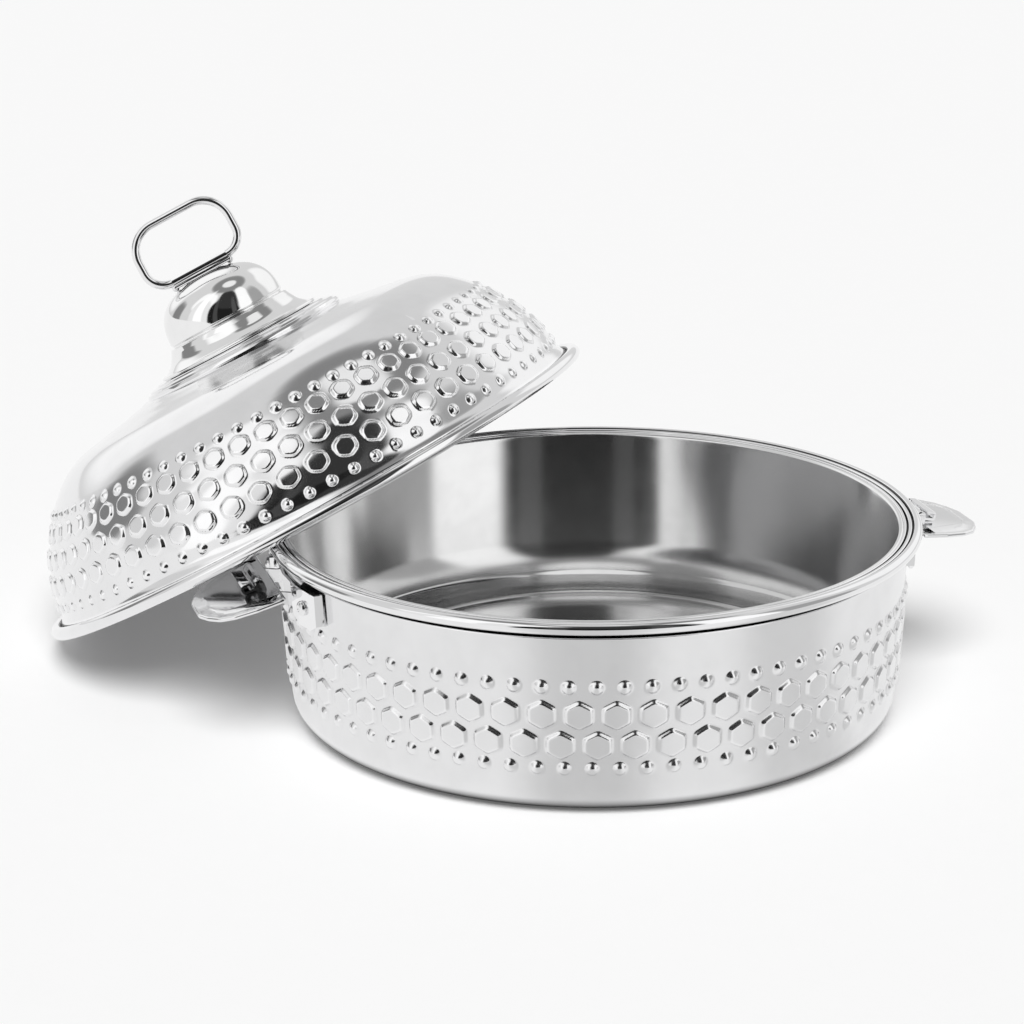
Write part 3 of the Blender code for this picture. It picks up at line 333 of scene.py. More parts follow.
@dataclass(frozen=True)
class Steel:
    """A stainless steel finish.

    Attributes:
        name: Name of the material.
        colour: Reflected colour of the clean steel.
        roughness: Mean roughness.
        spread: How far the roughness varies.
        grain: How the surface was worked.
        grain_depth: Height of the grain's bump, in metres.
        stretch: Anisotropy of the reflections across the grain.
        handling: Strength of the cloudy marks that handling leaves.
        wear_and_sheen: How much brighter the sharp edges are, partly from wear and partly as a
            painted highlight.
        waviness: Height of the slow waves of pressed sheet, in metres.
        lean: How far the burnished grooves face up.
        crevice_shade: How much darker the crevices are, as painted shade.
        clouds: Cells per metre, detail and roughness of the wide marks.
        smears: The same of the narrow marks.
        smear_share: Share of the narrow marks.
        marked: Noise between which a spot goes from clean to marked.
        bright_edge: Pointiness between which an edge goes from plain to bright.
        sunk: Pointiness between which a crevice goes from painted shade to plain.
        waves: Cells per metre, detail and roughness of the slow waves.
    """

    name: str
    colour: Colour
    roughness: float
    spread: float = 0.04
    grain: Grain = Grain.SATIN
    grain_depth: float = 0.000004
    stretch: float = 0.0
    handling: float = 0.3
    wear_and_sheen: float = 0.0
    waviness: float = 0.0
    lean: float = 0.0
    crevice_shade: float = 0.10
    clouds: Triple = (21.0, 4.0, 0.6)
    smears: Triple = (95.0, 3.0, 0.55)
    smear_share: float = 0.35
    marked: Pair = (0.38, 0.66)
    bright_edge: Pair = (0.505, 0.56)
    sunk: Pair = (0.44, 0.495)
    waves: Triple = (32.0, 1.0, 0.4)

    def pattern(self, graph: Graph, place: Signal) -> Signal:
        """Return the fine grain.

        Args:
            graph: The material's nodes.
            place: Position on the piece in its own axes.

        Returns:
            A signal between nought and one.
        """
        around, across, detail, rough = self.grain.value
        if self.grain is Grain.POLISHED:
            return graph.noise(place, across, detail, rough)
        x, y, z = graph.parts(place)
        radius = (x * x + y * y + AXIS_GUARD) ** 0.5
        height = radius - z if self.grain is Grain.TURNED else z - radius
        lines = graph.vector(x / radius * around, y / radius * around, height * across)
        return graph.noise(lines, 1.0, detail, rough)

    def film(self, graph: Graph, place: Signal, grain: Signal) -> tuple[Signal, Signal]:
        """Return the colour and roughness with the marks of handling, the brighter edges of wear
        and painted highlight, and painted shade in crevices.

        Args:
            graph: The material's nodes.
            place: Position on the piece in its own axes.
            grain: The fine grain.

        Returns:
            The colour and the roughness.
        """
        clouds, smears = graph.noise(place, *self.clouds), graph.noise(place, *self.smears)
        marks = clouds * (1.0 - self.smear_share) + smears * self.smear_share
        marks = marks.step(*self.marked)
        roughness = (
            (grain - 0.5) * self.spread + (marks - 0.5) * (self.handling * self.spread)
        ) + self.roughness
        dull = scaled(self.colour, 1.0 - DULLED * self.handling)
        colour = graph.mix(marks, opaque(self.colour), dull)
        # Pointiness brightens sharp edges, for wear and a painted highlight, and darkens crevices
        # with painted shade.
        if self.wear_and_sheen:
            edges = graph.signal("ShaderNodeNewGeometry", {}, {}, "Pointiness")
            bright_edge, shaded_crevice = edges.step(*self.bright_edge), 1.0 - edges.step(*self.sunk)
            colour = graph.mix(bright_edge, colour, scaled(self.colour, 1.0 + self.wear_and_sheen))
            colour = graph.mix(shaded_crevice, colour, scaled(self.colour, 1.0 - self.crevice_shade))
            half = self.spread / 2
            roughness = roughness + shaded_crevice * half - bright_edge * half
        return colour, roughness.clamped()

    def relief(self, graph: Graph, place: Signal, grain: Signal) -> Signal:
        """Return the normal with the grain, the slow waves and the lean of the grooves.

        Args:
            graph: The material's nodes.
            place: Position on the piece in its own axes.
            grain: The fine grain.

        Returns:
            The normal.
        """
        height = grain * self.grain_depth
        if self.waviness:
            height = height + graph.noise(place, *self.waves) * self.waviness
        normal = graph.bump(height)
        if not self.lean:
            return normal
        kind, up = "ShaderNodeVectorMath", (0, 0, self.lean)
        raised = graph.signal(kind, {"operation": "ADD"}, {0: normal, 1: up})
        return graph.signal(kind, {"operation": "NORMALIZE"}, {0: raised})

    def build(self, axes: Matrix) -> bpy.types.Material:
        """Return the finish as a material.

        Args:
            axes: Place of the axes that the grain follows.

        Returns:
            The material.
        """
        made, graph = new_paint(self.name)
        place = graph.place_in(axes)
        grain = self.pattern(graph, place)
        colour, roughness = self.film(graph, place, grain)
        values = {
            "Metallic": 1.0,
            "Base Color": colour,
            "Roughness": roughness,
            "Normal": self.relief(graph, place, grain),
            "Anisotropic": self.stretch,
            "Anisotropic Rotation": QUARTER_TURN,
        }
        show(graph, graph.node("ShaderNodeBsdfPrincipled", {}, values))
        return made


@dataclass(frozen=True)
class Foam:
    """The rigid foam between the walls, with its cells.

    Attributes:
        name: Name of the material.
        colour: Colour of its lightest parts.
        cell: Width of a cell, in metres.
        depth: Depth of a cell as a share of its width.
        darkest: Brightness of its darkest parts against the lightest.
        tint: Cells per metre and detail of the tint.
        roughness: Its roughness.
    """

    name: str
    colour: Colour
    cell: float = 0.0016
    depth: float = 0.4
    darkest: float = 0.86
    tint: Pair = (30.0, 3.0)
    roughness: float = 0.9

    def build(self, axes: Matrix) -> bpy.types.Material:
        """Return the foam as a material.

        Args:
            axes: Place of the axes that the cells follow.

        Returns:
            The material.
        """
        made, graph = new_paint(self.name)
        place = graph.place_in(axes)
        cells = graph.signal(
            "ShaderNodeTexVoronoi", {"feature": "F1"}, {"Vector": place, "Scale": 1 / self.cell}
        )
        tint = graph.noise(place, *self.tint)
        colour = graph.mix(tint, opaque(self.colour), scaled(self.colour, self.darkest))
        normal = graph.bump(cells * (self.depth * self.cell))
        values = {"Base Color": colour, "Roughness": self.roughness, "Normal": normal}
        show(graph, graph.node("ShaderNodeBsdfPrincipled", {}, values))
        return made


Finish = Union[Steel, Foam]


class Workshop:
    """Makes each finish once for each set of axes and hands it out."""

    finishes: dict[tuple, bpy.types.Material] = {}

    @classmethod
    def material(cls, finish: Finish, axes: Matrix = Matrix.Identity(4)) -> bpy.types.Material:
        """Return a finish's material along given axes, made on its first use.

        Args:
            finish: The finish.
            axes: Place of the axes that its grain follows.

        Returns:
            The material.
        """
        key = (finish.name, *(round(value, 6) for row in axes for value in row))
        if key not in cls.finishes:
            cls.finishes[key] = finish.build(axes)
        return cls.finishes[key]


EMBOSSED_STEEL = Steel(
    name="embossed_steel",
    colour=(0.81, 0.81, 0.815),
    roughness=0.18,
    spread=0.05,
    grain_depth=0.000002,
    handling=0.5,
    wear_and_sheen=0.10,
    waviness=0.00004,
)
LID_STEEL = Steel(
    name="lid_steel",
    colour=(0.85, 0.85, 0.855),
    roughness=0.10,
    spread=0.03,
    grain_depth=0.000001,
    handling=0.5,
    wear_and_sheen=0.10,
    waviness=0.00005,
)
PAN_STEEL = Steel(
    name="brushed_pan_steel",
    colour=(0.80, 0.80, 0.80),
    roughness=0.17,
    spread=0.05,
    grain=Grain.TURNED,
    grain_depth=0.000001,
    stretch=0.9,
    handling=0.5,
    lean=0.33,
)
# The liner's steel is darkened with painted shade, for the shade inside the lid.
SHADED_LINER_STEEL = Steel(
    name="brushed_liner_painted_shade",
    colour=(0.40, 0.40, 0.405),
    roughness=0.16,
    spread=0.06,
    grain=Grain.TURNED,
    grain_depth=0.000003,
    handling=0.6,
)
FLOOR_STEEL = Steel(
    name="pan_floor_steel",
    colour=(0.78, 0.78, 0.78),
    roughness=0.06,
    spread=0.05,
    grain=Grain.TURNED,
    grain_depth=0.000001,
    handling=0.9,
)
RIM_STEEL = Steel(
    name="polished_rim_steel",
    colour=(0.84, 0.84, 0.845),
    roughness=0.055,
    spread=0.03,
    grain=Grain.TURNED,
    grain_depth=0.000001,
    handling=0.4,
    wear_and_sheen=0.12,
    # Strong painted shade in the crevices of the rim's ledge.
    crevice_shade=0.80,
)
# Near black painted shade for the rim's grooves and the seam of the lid's rolled edge.
GROOVE_SHADE = Steel(
    name="rim_crevice_painted_shade",
    colour=(0.09, 0.09, 0.09),
    roughness=0.30,
    spread=0.08,
    grain=Grain.TURNED,
    grain_depth=0.000002,
    handling=0.5,
)
BELL_STEEL = Steel(
    name="mirror_bell_steel",
    colour=(0.88, 0.88, 0.88),
    roughness=0.065,
    spread=0.03,
    grain=Grain.POLISHED,
    grain_depth=0.0000002,
    handling=0.5,
)
RING_STEEL = Steel(
    name="bright_ring_steel",
    colour=(0.84, 0.84, 0.845),
    roughness=0.06,
    spread=0.03,
    grain=Grain.POLISHED,
    grain_depth=0.0000004,
    handling=0.6,
)
CLASP_STEEL = Steel(
    name="clasp_steel",
    colour=(0.80, 0.80, 0.805),
    roughness=0.11,
    spread=0.05,
    grain=Grain.POLISHED,
    grain_depth=0.000001,
    handling=0.6,
    wear_and_sheen=0.08,
)
BASE_STEEL = Steel(
    name="base_steel",
    colour=(0.70, 0.70, 0.70),
    roughness=0.34,
    spread=0.10,
    grain=Grain.TURNED,
    grain_depth=0.000008,
    stretch=0.4,
    handling=0.9,
)
INSULATION = Foam("insulation_foam", (0.86, 0.79, 0.58))


# Meshes


def arc(centre: Point, radius: float, start: float, end: float, steps: int) -> list[Point]:
    """Return points on an arc.

    Args:
        centre: Its centre.
        radius: Its radius.
        start: Angle of its first point, in degrees.
        end: Angle of its last point, in degrees.
        steps: Facets along it.

    Returns:
        The points.
    """
    turns = [math.radians(start + (end - start) * i / steps) for i in range(steps + 1)]
    return [(centre[0] + radius * math.cos(t), centre[1] + radius * math.sin(t)) for t in turns]


def shifted(corners: Sequence[Corner], x: float, z: float) -> list[Corner]:
    """Move the corners of an outline.

    Args:
        corners: Radius, height and fillet radius of each corner, from their own origin.
        x: Radius of that origin.
        z: Height of that origin.

    Returns:
        The corners, with the same fillets.
    """
    return [(x + across, z + up, radius) for across, up, radius in corners]


def filleted(corners: Sequence[Corner], steps: int = 6) -> list[Point]:
    """Round the corners of an open outline.

    Args:
        corners: Radius, height and fillet radius of each corner.
        steps: Facets in each fillet.

    Returns:
        The outline's points.
    """
    made: list[Point] = []
    for i, (x, z, radius) in enumerate(corners):
        here = Vector((x, z))
        if i in (0, len(corners) - 1) or radius <= 0:
            made.append((x, z))
            continue
        back = Vector(corners[i - 1][:2]) - here
        ahead = Vector(corners[i + 1][:2]) - here
        half = back.angle(ahead) / 2
        most = FILLET_SHARE * min(back.length, ahead.length)
        reach = min(radius / math.tan(half), most)
        size = reach * math.tan(half)
        centre = here + (back.normalized() + ahead.normalized()).normalized() * (
            size / math.sin(half)
        )
        first = here + back.normalized() * reach - centre
        last = here + ahead.normalized() * reach - centre
        turn = first.angle_signed(last)
        for k in range(steps + 1):
            angle = -turn * k / steps
            spot = centre + Matrix.Rotation(angle, 2) @ first
            made.append((spot.x, spot.y))
    return made


def eased(points: Sequence[Point], spacing: float) -> list[Point]:
    """Return a smooth outline through points.

    Args:
        points: The points that it passes through.
        spacing: Distance between the new points, which is rounded to fit.

    Returns:
        Evenly spaced points.
    """
    spots = np.array(points, float)
    runs = np.hypot(*np.diff(spots, axis=0).T)
    knots = np.concatenate(([0.0], np.cumsum(runs)))
    slopes = np.gradient(spots, knots, axis=0)
    wanted = np.linspace(0.0, knots[-1], max(2, int(round(knots[-1] / spacing)) + 1))
    index = np.clip(np.searchsorted(knots, wanted, side="right") - 1, 0, len(knots) - 2)
    width = (knots[index + 1] - knots[index])[:, None]
    t = ((wanted - knots[index]) / width[:, 0])[:, None]
    start, end = spots[index], spots[index + 1]
    rise, fall = slopes[index] * width, slopes[index + 1] * width
    curve = (
        (2 * t**3 - 3 * t**2 + 1) * start
        + (t**3 - 2 * t**2 + t) * rise
        + (3 * t**2 - 2 * t**3) * end
        + (t**3 - t**2) * fall
    )
    return [tuple(p) for p in curve.tolist()]


def smooth_mesh(name: str, spots: np.ndarray, faces: np.ndarray) -> bpy.types.Mesh:
    """Return a smooth shaded mesh of quads.

    Args:
        name: Name of the mesh.
        spots: Positions of its points, one row each.
        faces: Four point numbers for each face. A triangle repeats its last one.

    Returns:
        The mesh.
    """
    mesh = bpy.data.meshes.new(name)
    rows = [tuple(dict.fromkeys(face)) for face in faces.tolist()]
    mesh.from_pydata(spots.tolist(), [], [row for row in rows if len(row) > 2])
    mesh.polygons.foreach_set("use_smooth", [True] * len(mesh.polygons))
    mesh.update()
    return mesh


def spun(name: str, outline: Sequence[Point], columns: int) -> bpy.types.Mesh:
    """Spin an outline round Z.

    Args:
        name: Name of the mesh.
        outline: Radius and height of each point. It is closed unless its ends are on the axis.
        columns: Facets round the axis.

    Returns:
        A closed mesh that faces out.
    """
    points = list(outline)
    on_axis = points[0][0] < ON_AXIS and points[-1][0] < ON_AXIS
    area = sum(a[0] * b[1] - b[0] * a[1] for a, b in zip(points, points[1:] + points[:1]))
    if area > 0:
        points.reverse()
    turns = np.linspace(0, 2 * math.pi, columns, endpoint=False)
    spots: list[np.ndarray] = []
    rings: list[np.ndarray] = []
    count = 0
    for radius, height in points:
        if radius < ON_AXIS:
            spots.append(np.array([[0.0, 0.0, height]]))
            rings.append(np.full(columns, count))
        else:
            level = np.full(columns, height)
            spots.append(np.stack([radius * np.cos(turns), radius * np.sin(turns), level], axis=1))
            rings.append(np.arange(count, count + columns))
        count += len(spots[-1])
    pairs = list(zip(rings, rings[1:]))
    if not on_axis:
        pairs.append((rings[-1], rings[0]))
    faces = [
        np.stack([low, np.roll(low, -1), np.roll(high, -1), high], axis=1) for high, low in pairs
    ]
    return smooth_mesh(name, np.concatenate(spots), np.concatenate(faces))


def two_tone(mesh: bpy.types.Mesh, second: Callable[[float, float], bool]) -> None:
    """Give some faces of a turned mesh the piece's second finish.

    Args:
        mesh: The mesh, still in its own axes.
        second: Says for a face's radius and height whether it has the second finish.
    """
    for face in mesh.polygons:
        radius = math.hypot(face.center.x, face.center.y)
        face.material_index = int(second(radius, face.center.z))


def joined_rings(rings: np.ndarray) -> np.ndarray:
    """Return the quads between closed rings of points, the last of which meets the first.

    Args:
        rings: Point numbers, one row for each ring.

    Returns:
        Four point numbers for each face.
    """
    after = np.roll(rings, -1, axis=0)
    faces = [rings, np.roll(rings, -1, axis=1), np.roll(after, -1, axis=1), after]
    return np.stack(faces, axis=2).reshape(-1, 4)


def crisp(name: str, bm: bmesh.types.BMesh, angle: float) -> bpy.types.Mesh:
    """Turn a mesh in the making into one that is smooth but for its sharp edges.

    Args:
        name: Name of the mesh.
        bm: The mesh in the making, which is freed.
        angle: Angle in degrees from which an edge is sharp.

    Returns:
        The mesh.
    """
    mesh = bpy.data.meshes.new(name)
    bm.to_mesh(mesh)
    bm.free()
    mesh.shade_smooth()
    mesh.set_sharp_from_angle(angle=math.radians(angle))
    return mesh


def link(name: str, data: Any) -> bpy.types.Object:
    """Link new data to the scene.

    Args:
        name: Name of the object.
        data: Its mesh, lamp or camera.

    Returns:
        The object.
    """
    made = bpy.data.objects.new(name, data)
    bpy.context.scene.collection.objects.link(made)
    return made


@dataclass(frozen=True)
class Piece:
    """Where a new mesh goes and what it stands for.

    Attributes:
        body: CAD body that it rides on.
        stands_for: CAD nodes that it replaces.
        slot: Material slot of the record. It is not used.
        finish: Its finish.
        second: Finish of the faces that two_tone picks.
    """

    body: str
    stands_for: tuple[str, ...]
    slot: str
    finish: Finish
    second: Optional[Finish] = None

    def spin(
        self,
        name: str,
        outline: Sequence[Point],
        columns: int,
        place: Matrix = Matrix.Identity(4),
        second: Optional[Callable[[float, float], bool]] = None,
    ) -> None:
        """Spin an outline and link it as a piece.

        Args:
            name: Name of the piece.
            outline: Radius and height of each point.
            columns: Facets round the axis.
            place: Its place.
            second: Says for a face's radius and height whether it has the second finish.
        """
        mesh = spun(name, outline, columns)
        if second:
            two_tone(mesh, second)
        self.place(name, mesh, place)

    def place(
        self, name: str, data: bpy.types.Mesh, place: Matrix = Matrix.Identity(4)
    ) -> None:
        """Link a mesh as a piece.

        Args:
            name: Name of the piece.
            data: Its mesh, in the axes of its place.
            place: Its place, into which the mesh is moved.
        """
        data.transform(place)
        made = link(name, data)
        for finish in filter(None, (self.finish, self.second)):
            made.data.materials.append(Workshop.material(finish, place))
        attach(made, self.body)
        if self.stands_for:
            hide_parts(*self.stands_for)
        log.info("%s rides on %s", name, self.body)


def finish_node(node: str, finish: Finish, bevel: float = 0.0) -> None:
    """Give a CAD node that stays a finish and softer edges.

    Args:
        node: Name of the node.
        finish: The finish.
        bevel: Width of the bevel on its edges.
    """
    kept = frame["nodes"][node]
    kept.data.materials.clear()
    kept.data.materials.append(Workshop.material(finish))
    if bevel:
        edge = kept.modifiers.new("Bevel", "BEVEL")
        edge.width = bevel
        edge.segments = 3
        edge.limit_method = "ANGLE"
        edge.angle_limit = math.radians(SHARP)
    log.info("%s keeps its shape", node)


# Embossing


def swing(turn: np.ndarray, first: float, count: int) -> np.ndarray:
    """Return how far azimuths are from the nearest copy of a row.

    Args:
        turn: The azimuths.
        first: Azimuth of one copy, in degrees.
        count: Copies in the row.

    Returns:
        The angles.
    """
    pitch = 2 * math.pi / count
    return (turn - math.radians(first) + pitch / 2) % pitch - pitch / 2


@dataclass(frozen=True)
class HexRow:
    """A row of raised hexagons.

    Attributes:
        level: Distance along the wall of the row's centre line.
        count: Hexagons in the row.
        turn: Azimuth of one of them, in degrees.
        width: Width over the flats at the foot.
        height: Height over the points at the foot.
        rise: How far they are raised.
        slope: Width of the sloping border.
        corner: Sharpness of the corners, as the power of their blend.
    """

    level: float
    count: int
    turn: float
    width: float
    height: float
    rise: float
    slope: float
    corner: float

    def lift(self, radius: np.ndarray, turn: np.ndarray, level: np.ndarray) -> np.ndarray:
        """Return how far each point of a wall is raised.

        Args:
            radius: Its radius.
            turn: Its azimuth.
            level: Its distance along the wall.

        Returns:
            The heights over the wall.
        """
        x = swing(turn, self.turn, self.count) * radius
        y = (level - self.level) * (self.width * 2 / math.sqrt(3)) / self.height
        sides = np.abs(np.stack([x, x / 2 + y * math.sqrt(3) / 2, x / 2 - y * math.sqrt(3) / 2]))
        reach = ((sides / (self.width / 2)) ** self.corner).sum(0) ** (1 / self.corner)
        inside = np.clip((1 - reach) * (self.width / 2) / self.slope, 0, 1)
        return self.rise * inside * inside * (3 - 2 * inside)


@dataclass(frozen=True)
class DotRow:
    """A row of small raised domes.

    Attributes:
        level: Distance along the wall of the row's centre line.
        count: Domes in the row.
        turn: Azimuth of one of them, in degrees.
        size: Their diameter.
        rise: Their height.
        fullness: Power of the dome's outline, under 1 for a fuller one.
    """

    level: float
    count: int
    turn: float
    size: float
    rise: float
    fullness: float = 0.95

    def lift(self, radius: np.ndarray, turn: np.ndarray, level: np.ndarray) -> np.ndarray:
        """Return how far each point of a wall is raised.

        Args:
            radius: Its radius.
            turn: Its azimuth.
            level: Its distance along the wall.

        Returns:
            The heights over the wall.
        """
        aside = swing(turn, self.turn, self.count) * radius
        away = np.hypot(aside, level - self.level) / (self.size / 2)
        return self.rise * np.clip(1 - away**2, 0, 1) ** self.fullness


Row = Union[HexRow, DotRow]


@dataclass(frozen=True)
class Embossing:
    """The rows of hexagons and dots on a wall.

    Attributes:
        count: Hexagons in a row.
        turn: Azimuth of a hexagon of the first row, in degrees. Every second row is half a
            pitch on.
        rise: How far the hexagons are raised.
        slope: Width of their sloping border.
        corner: Sharpness of their corners.
        hexes: Height, width over the flats and height over the points of each row of hexagons.
        dots: Height, count, azimuth in degrees, diameter and rise of each row of dots.
        band: Heights between which the mesh is fine.
        facets: Facets round the axis for each hexagon.
    """

    count: int
    turn: float
    rise: float
    slope: float
    corner: float
    hexes: tuple[Triple, ...]
    dots: tuple[tuple[float, int, float, float, float], ...]
    band: Pair
    facets: int = 24

    def shell(
        self, name: str, outline: Sequence[Point], level: Callable[[float], float]
    ) -> bpy.types.Mesh:
        """Return the embossed wall.

        Args:
            name: Name of the mesh.
            outline: Outer side of the wall, from foot to top.
            level: Gives the distance along the outline of a height.

        Returns:
            A closed mesh.
        """
        half = 180 / self.count
        rows: list[Row] = []
        for i, (height, width, tall) in enumerate(self.hexes):
            turn = self.turn + half * (i % 2)
            sizes = (width, tall, self.rise, self.slope, self.corner)
            rows.append(HexRow(level(height), self.count, turn, *sizes))
        rows += [DotRow(level(height), *sizes) for height, *sizes in self.dots]
        fine = (level(self.band[0]), level(self.band[1]))
        columns = self.count * self.facets
        return EmbossedShell(tuple(outline), fine, tuple(rows), columns).build(name)


@dataclass(frozen=True)
class EmbossedShell:
    """A thin shell of revolution with raised rows on its outside.

    Attributes:
        outline: Outer side from foot to top, as smooth points.
        band: Distances along it between which the mesh is fine.
        rows: The embossed rows.
        columns: Facets round the axis.
        fine: Spacing of the fine rings.
        coarse: Spacing of the other rings.
        sheet: Thickness of the steel.
        plain_rings: Rings of the plain inner side.
    """

    outline: tuple[Point, ...]
    band: Pair
    rows: tuple[Row, ...]
    columns: int
    fine: float = 0.0006
    coarse: float = 0.0025
    sheet: float = 0.0010
    plain_rings: int = 16

    def build(self, name: str) -> bpy.types.Mesh:
        """Return the shell as a closed mesh.

        Args:
            name: Name of the mesh.

        Returns:
            The mesh.
        """
        spots = np.array(self.outline, float)
        walked = np.concatenate(([0.0], np.cumsum(np.hypot(*np.diff(spots, axis=0).T))))
        levels = np.concatenate([
            np.arange(0.0, self.band[0], self.coarse),
            np.arange(self.band[0], self.band[1], self.fine),
            np.arange(self.band[1], walked[-1] - 2 * self.fine, self.coarse),
            [walked[-1] - self.fine, walked[-1]],
        ])
        radius = np.interp(levels, walked, spots[:, 0])
        height = np.interp(levels, walked, spots[:, 1])
        run = np.gradient(np.stack([radius, height], axis=1), levels, axis=0)
        run /= np.linalg.norm(run, axis=1)[:, None]
        turns = np.linspace(-math.pi, math.pi, self.columns, endpoint=False)
        turn, level = np.meshgrid(turns, levels)
        wide = np.repeat(radius[:, None], self.columns, axis=1)
        lift = np.zeros_like(turn)
        for row in self.rows:
            lift = np.maximum(lift, row.lift(wide, turn, level))
        out = wide + lift * run[:, 1:2]
        up = height[:, None] - lift * run[:, 0:1]
        inner = np.linspace(0, len(levels) - 1, self.plain_rings).astype(int)[::-1]
        back = wide[inner] - self.sheet * run[inner, 1:2]
        low = height[inner][:, None] + self.sheet * run[inner, 0:1]
        turn = np.concatenate([turn, turn[inner]])
        out = np.concatenate([out, back])
        up = np.concatenate([up, np.repeat(low, self.columns, axis=1)])
        grid = np.stack([out * np.cos(turn), out * np.sin(turn), up], axis=2).reshape(-1, 3)
        rings = np.arange(len(grid)).reshape(-1, self.columns)
        return smooth_mesh(name, grid, joined_rings(rings))


# Pot


@dataclass(frozen=True)
class PotWall:
    """The pot's embossed outer wall and its base.

    Attributes:
        wall_top: Radius of the wall under the rim.
        wall_foot: Radius of the wall over the rounded foot.
        top: Height of the wall's top.
        foot: Height of the flange under the pot.
        corner: Radius of the rounded foot.
        opening: Radius of the opening in the base.
        embossing: The rows on the wall.
        base_gap: Gap between the base disc and the opening.
        base_top: Height of the disc's upper side.
        base_fillet: Rounding of the disc's edge.
        base_rings: Corners of the rings under the disc, from outside to inside.
    """

    wall_top: float = 0.1438
    wall_foot: float = 0.1393
    top: float = 0.0827
    foot: float = 0.0010
    corner: float = 0.012
    opening: float = 0.118
    embossing: Embossing = Embossing(
        count=56,
        turn=-89.1,
        rise=0.00135,
        slope=0.0016,
        corner=14.0,
        hexes=((0.0337, 0.0133, 0.0145), (0.0475, 0.0133, 0.0145)),
        dots=((0.0602, 76, -89.3, 0.0066, 0.0019), (0.0228, 75, -90.1, 0.0064, 0.0018)),
        band=(0.0190, 0.0640),
    )
    base_gap: float = 0.0004
    base_top: float = 0.0022
    base_fillet: float = 0.0006
    base_rings: tuple[Corner, ...] = (
        (0.0880, 0.0, 0.001), (0.0872, 0.0011, 0.0006), (0.0848, 0.0011, 0.0006),
        (0.0840, 0.0, 0.001), (0.0330, 0.0, 0.001), (0.0320, 0.0007, 0.0005),
        (0.0300, 0.0007, 0.0005), (0.0290, 0.0, 0.001),
    )

    def outline(self) -> list[Point]:
        """Return the outer side of the wall.

        Returns:
            Radius and height of each point, from the base opening to the rim.
        """
        centre = (self.wall_foot - self.corner, self.foot + self.corner)
        bend = arc(centre, self.corner, -90, 0, steps=14)
        return [(self.opening, self.foot), *bend, (self.wall_top, self.top)]

    def level(self, height: float) -> float:
        """Return the distance along the outline of a height on the wall.

        Args:
            height: Height over the table.

        Returns:
            The distance from the base opening.
        """
        base = (self.wall_foot - self.corner) - self.opening
        bend = self.corner * math.pi / 2
        rise = self.top - self.foot - self.corner
        slant = math.hypot(rise, self.wall_top - self.wall_foot) / rise
        return base + bend + (height - self.foot - self.corner) * slant

    def build(self) -> None:
        """Build the wall and the base disc."""
        name = "pot_wall_embossed"
        wall = Piece("pot", ("pot_outer_shell",), "satin_steel", EMBOSSED_STEEL)
        wall.place(name, self.embossing.shell(name, self.outline(), self.level))

        edge = self.opening - self.base_gap
        disc = filleted([
            (0.0, self.base_top, 0),
            (edge, self.base_top, 0),
            (edge, 0.0, self.base_fillet),
            *self.base_rings,
            (0.0, 0.0, 0),
        ])
        base = Piece("pot", ("pot_base_disc",), "satin_steel", BASE_STEEL)
        base.spin("pot_base_turned", disc, columns=160)
        finish_node("pot_insulation", INSULATION)


@dataclass(frozen=True)
class PotRim:
    """The rolled rim outside the pan's lip.

    Attributes:
        radius: Radius over the bead.
        top: Height of the pot.
        bead: Radius of the bead.
        bead_drop: Depth of the bead's middle under the top.
        bead_turn: Angles between which the bead's outside lies, in degrees.
        ledge: Corners of the two lands and grooves inside the bead, from its radius and the top.
        grooves: Distance in from the outside and half width of each groove.
        groove_depth: Depths under the top between which a groove is dark with painted shade.
    """

    radius: float = 0.150
    top: float = 0.0910
    bead: float = 0.0026
    bead_drop: float = 0.0028
    bead_turn: Pair = (-112, 118)
    ledge: tuple[Corner, ...] = (
        (-0.0041, -0.0038, 0.0003), (-0.0048, -0.0008, 0.0006), (-0.0064, -0.0007, 0.0008),
        (-0.0069, -0.0040, 0.0002), (-0.0074, -0.0009, 0.0005), (-0.0086, -0.0012, 0.0005),
        (-0.0090, -0.0042, 0.0006), (-0.0060, -0.0060, 0.001), (-0.0045, -0.0060, 0),
    )
    grooves: tuple[Pair, ...] = ((0.0042, 0.0007), (0.0069, 0.0005))
    groove_depth: Pair = (0.0014, 0.0050)

    def build(self) -> None:
        """Build the rolled bead and the ledge inside it."""
        centre = (self.radius - self.bead, self.top - self.bead_drop)
        bead = arc(centre, self.bead, *self.bead_turn, steps=24)
        ledge = filleted([bead[-1] + (0,), *shifted(self.ledge, self.radius, self.top)])
        # The grooves get the painted shade.
        piece = Piece("pot", ("pot_rim_bead",), "polished_steel", RIM_STEEL, GROOVE_SHADE)
        piece.spin("pot_rim_rolled", bead + ledge[1:], columns=256, second=self.in_groove)

    def in_groove(self, radius: float, height: float) -> bool:
        """Say whether a spot is in one of the rim's two grooves.

        Args:
            radius: Its radius.
            height: Its height.

        Returns:
            True in a groove.
        """
        inset, deep = self.radius - radius, self.top - height
        beside = any(abs(inset - middle) < half for middle, half in self.grooves)
        return beside and self.groove_depth[0] < deep < self.groove_depth[1]


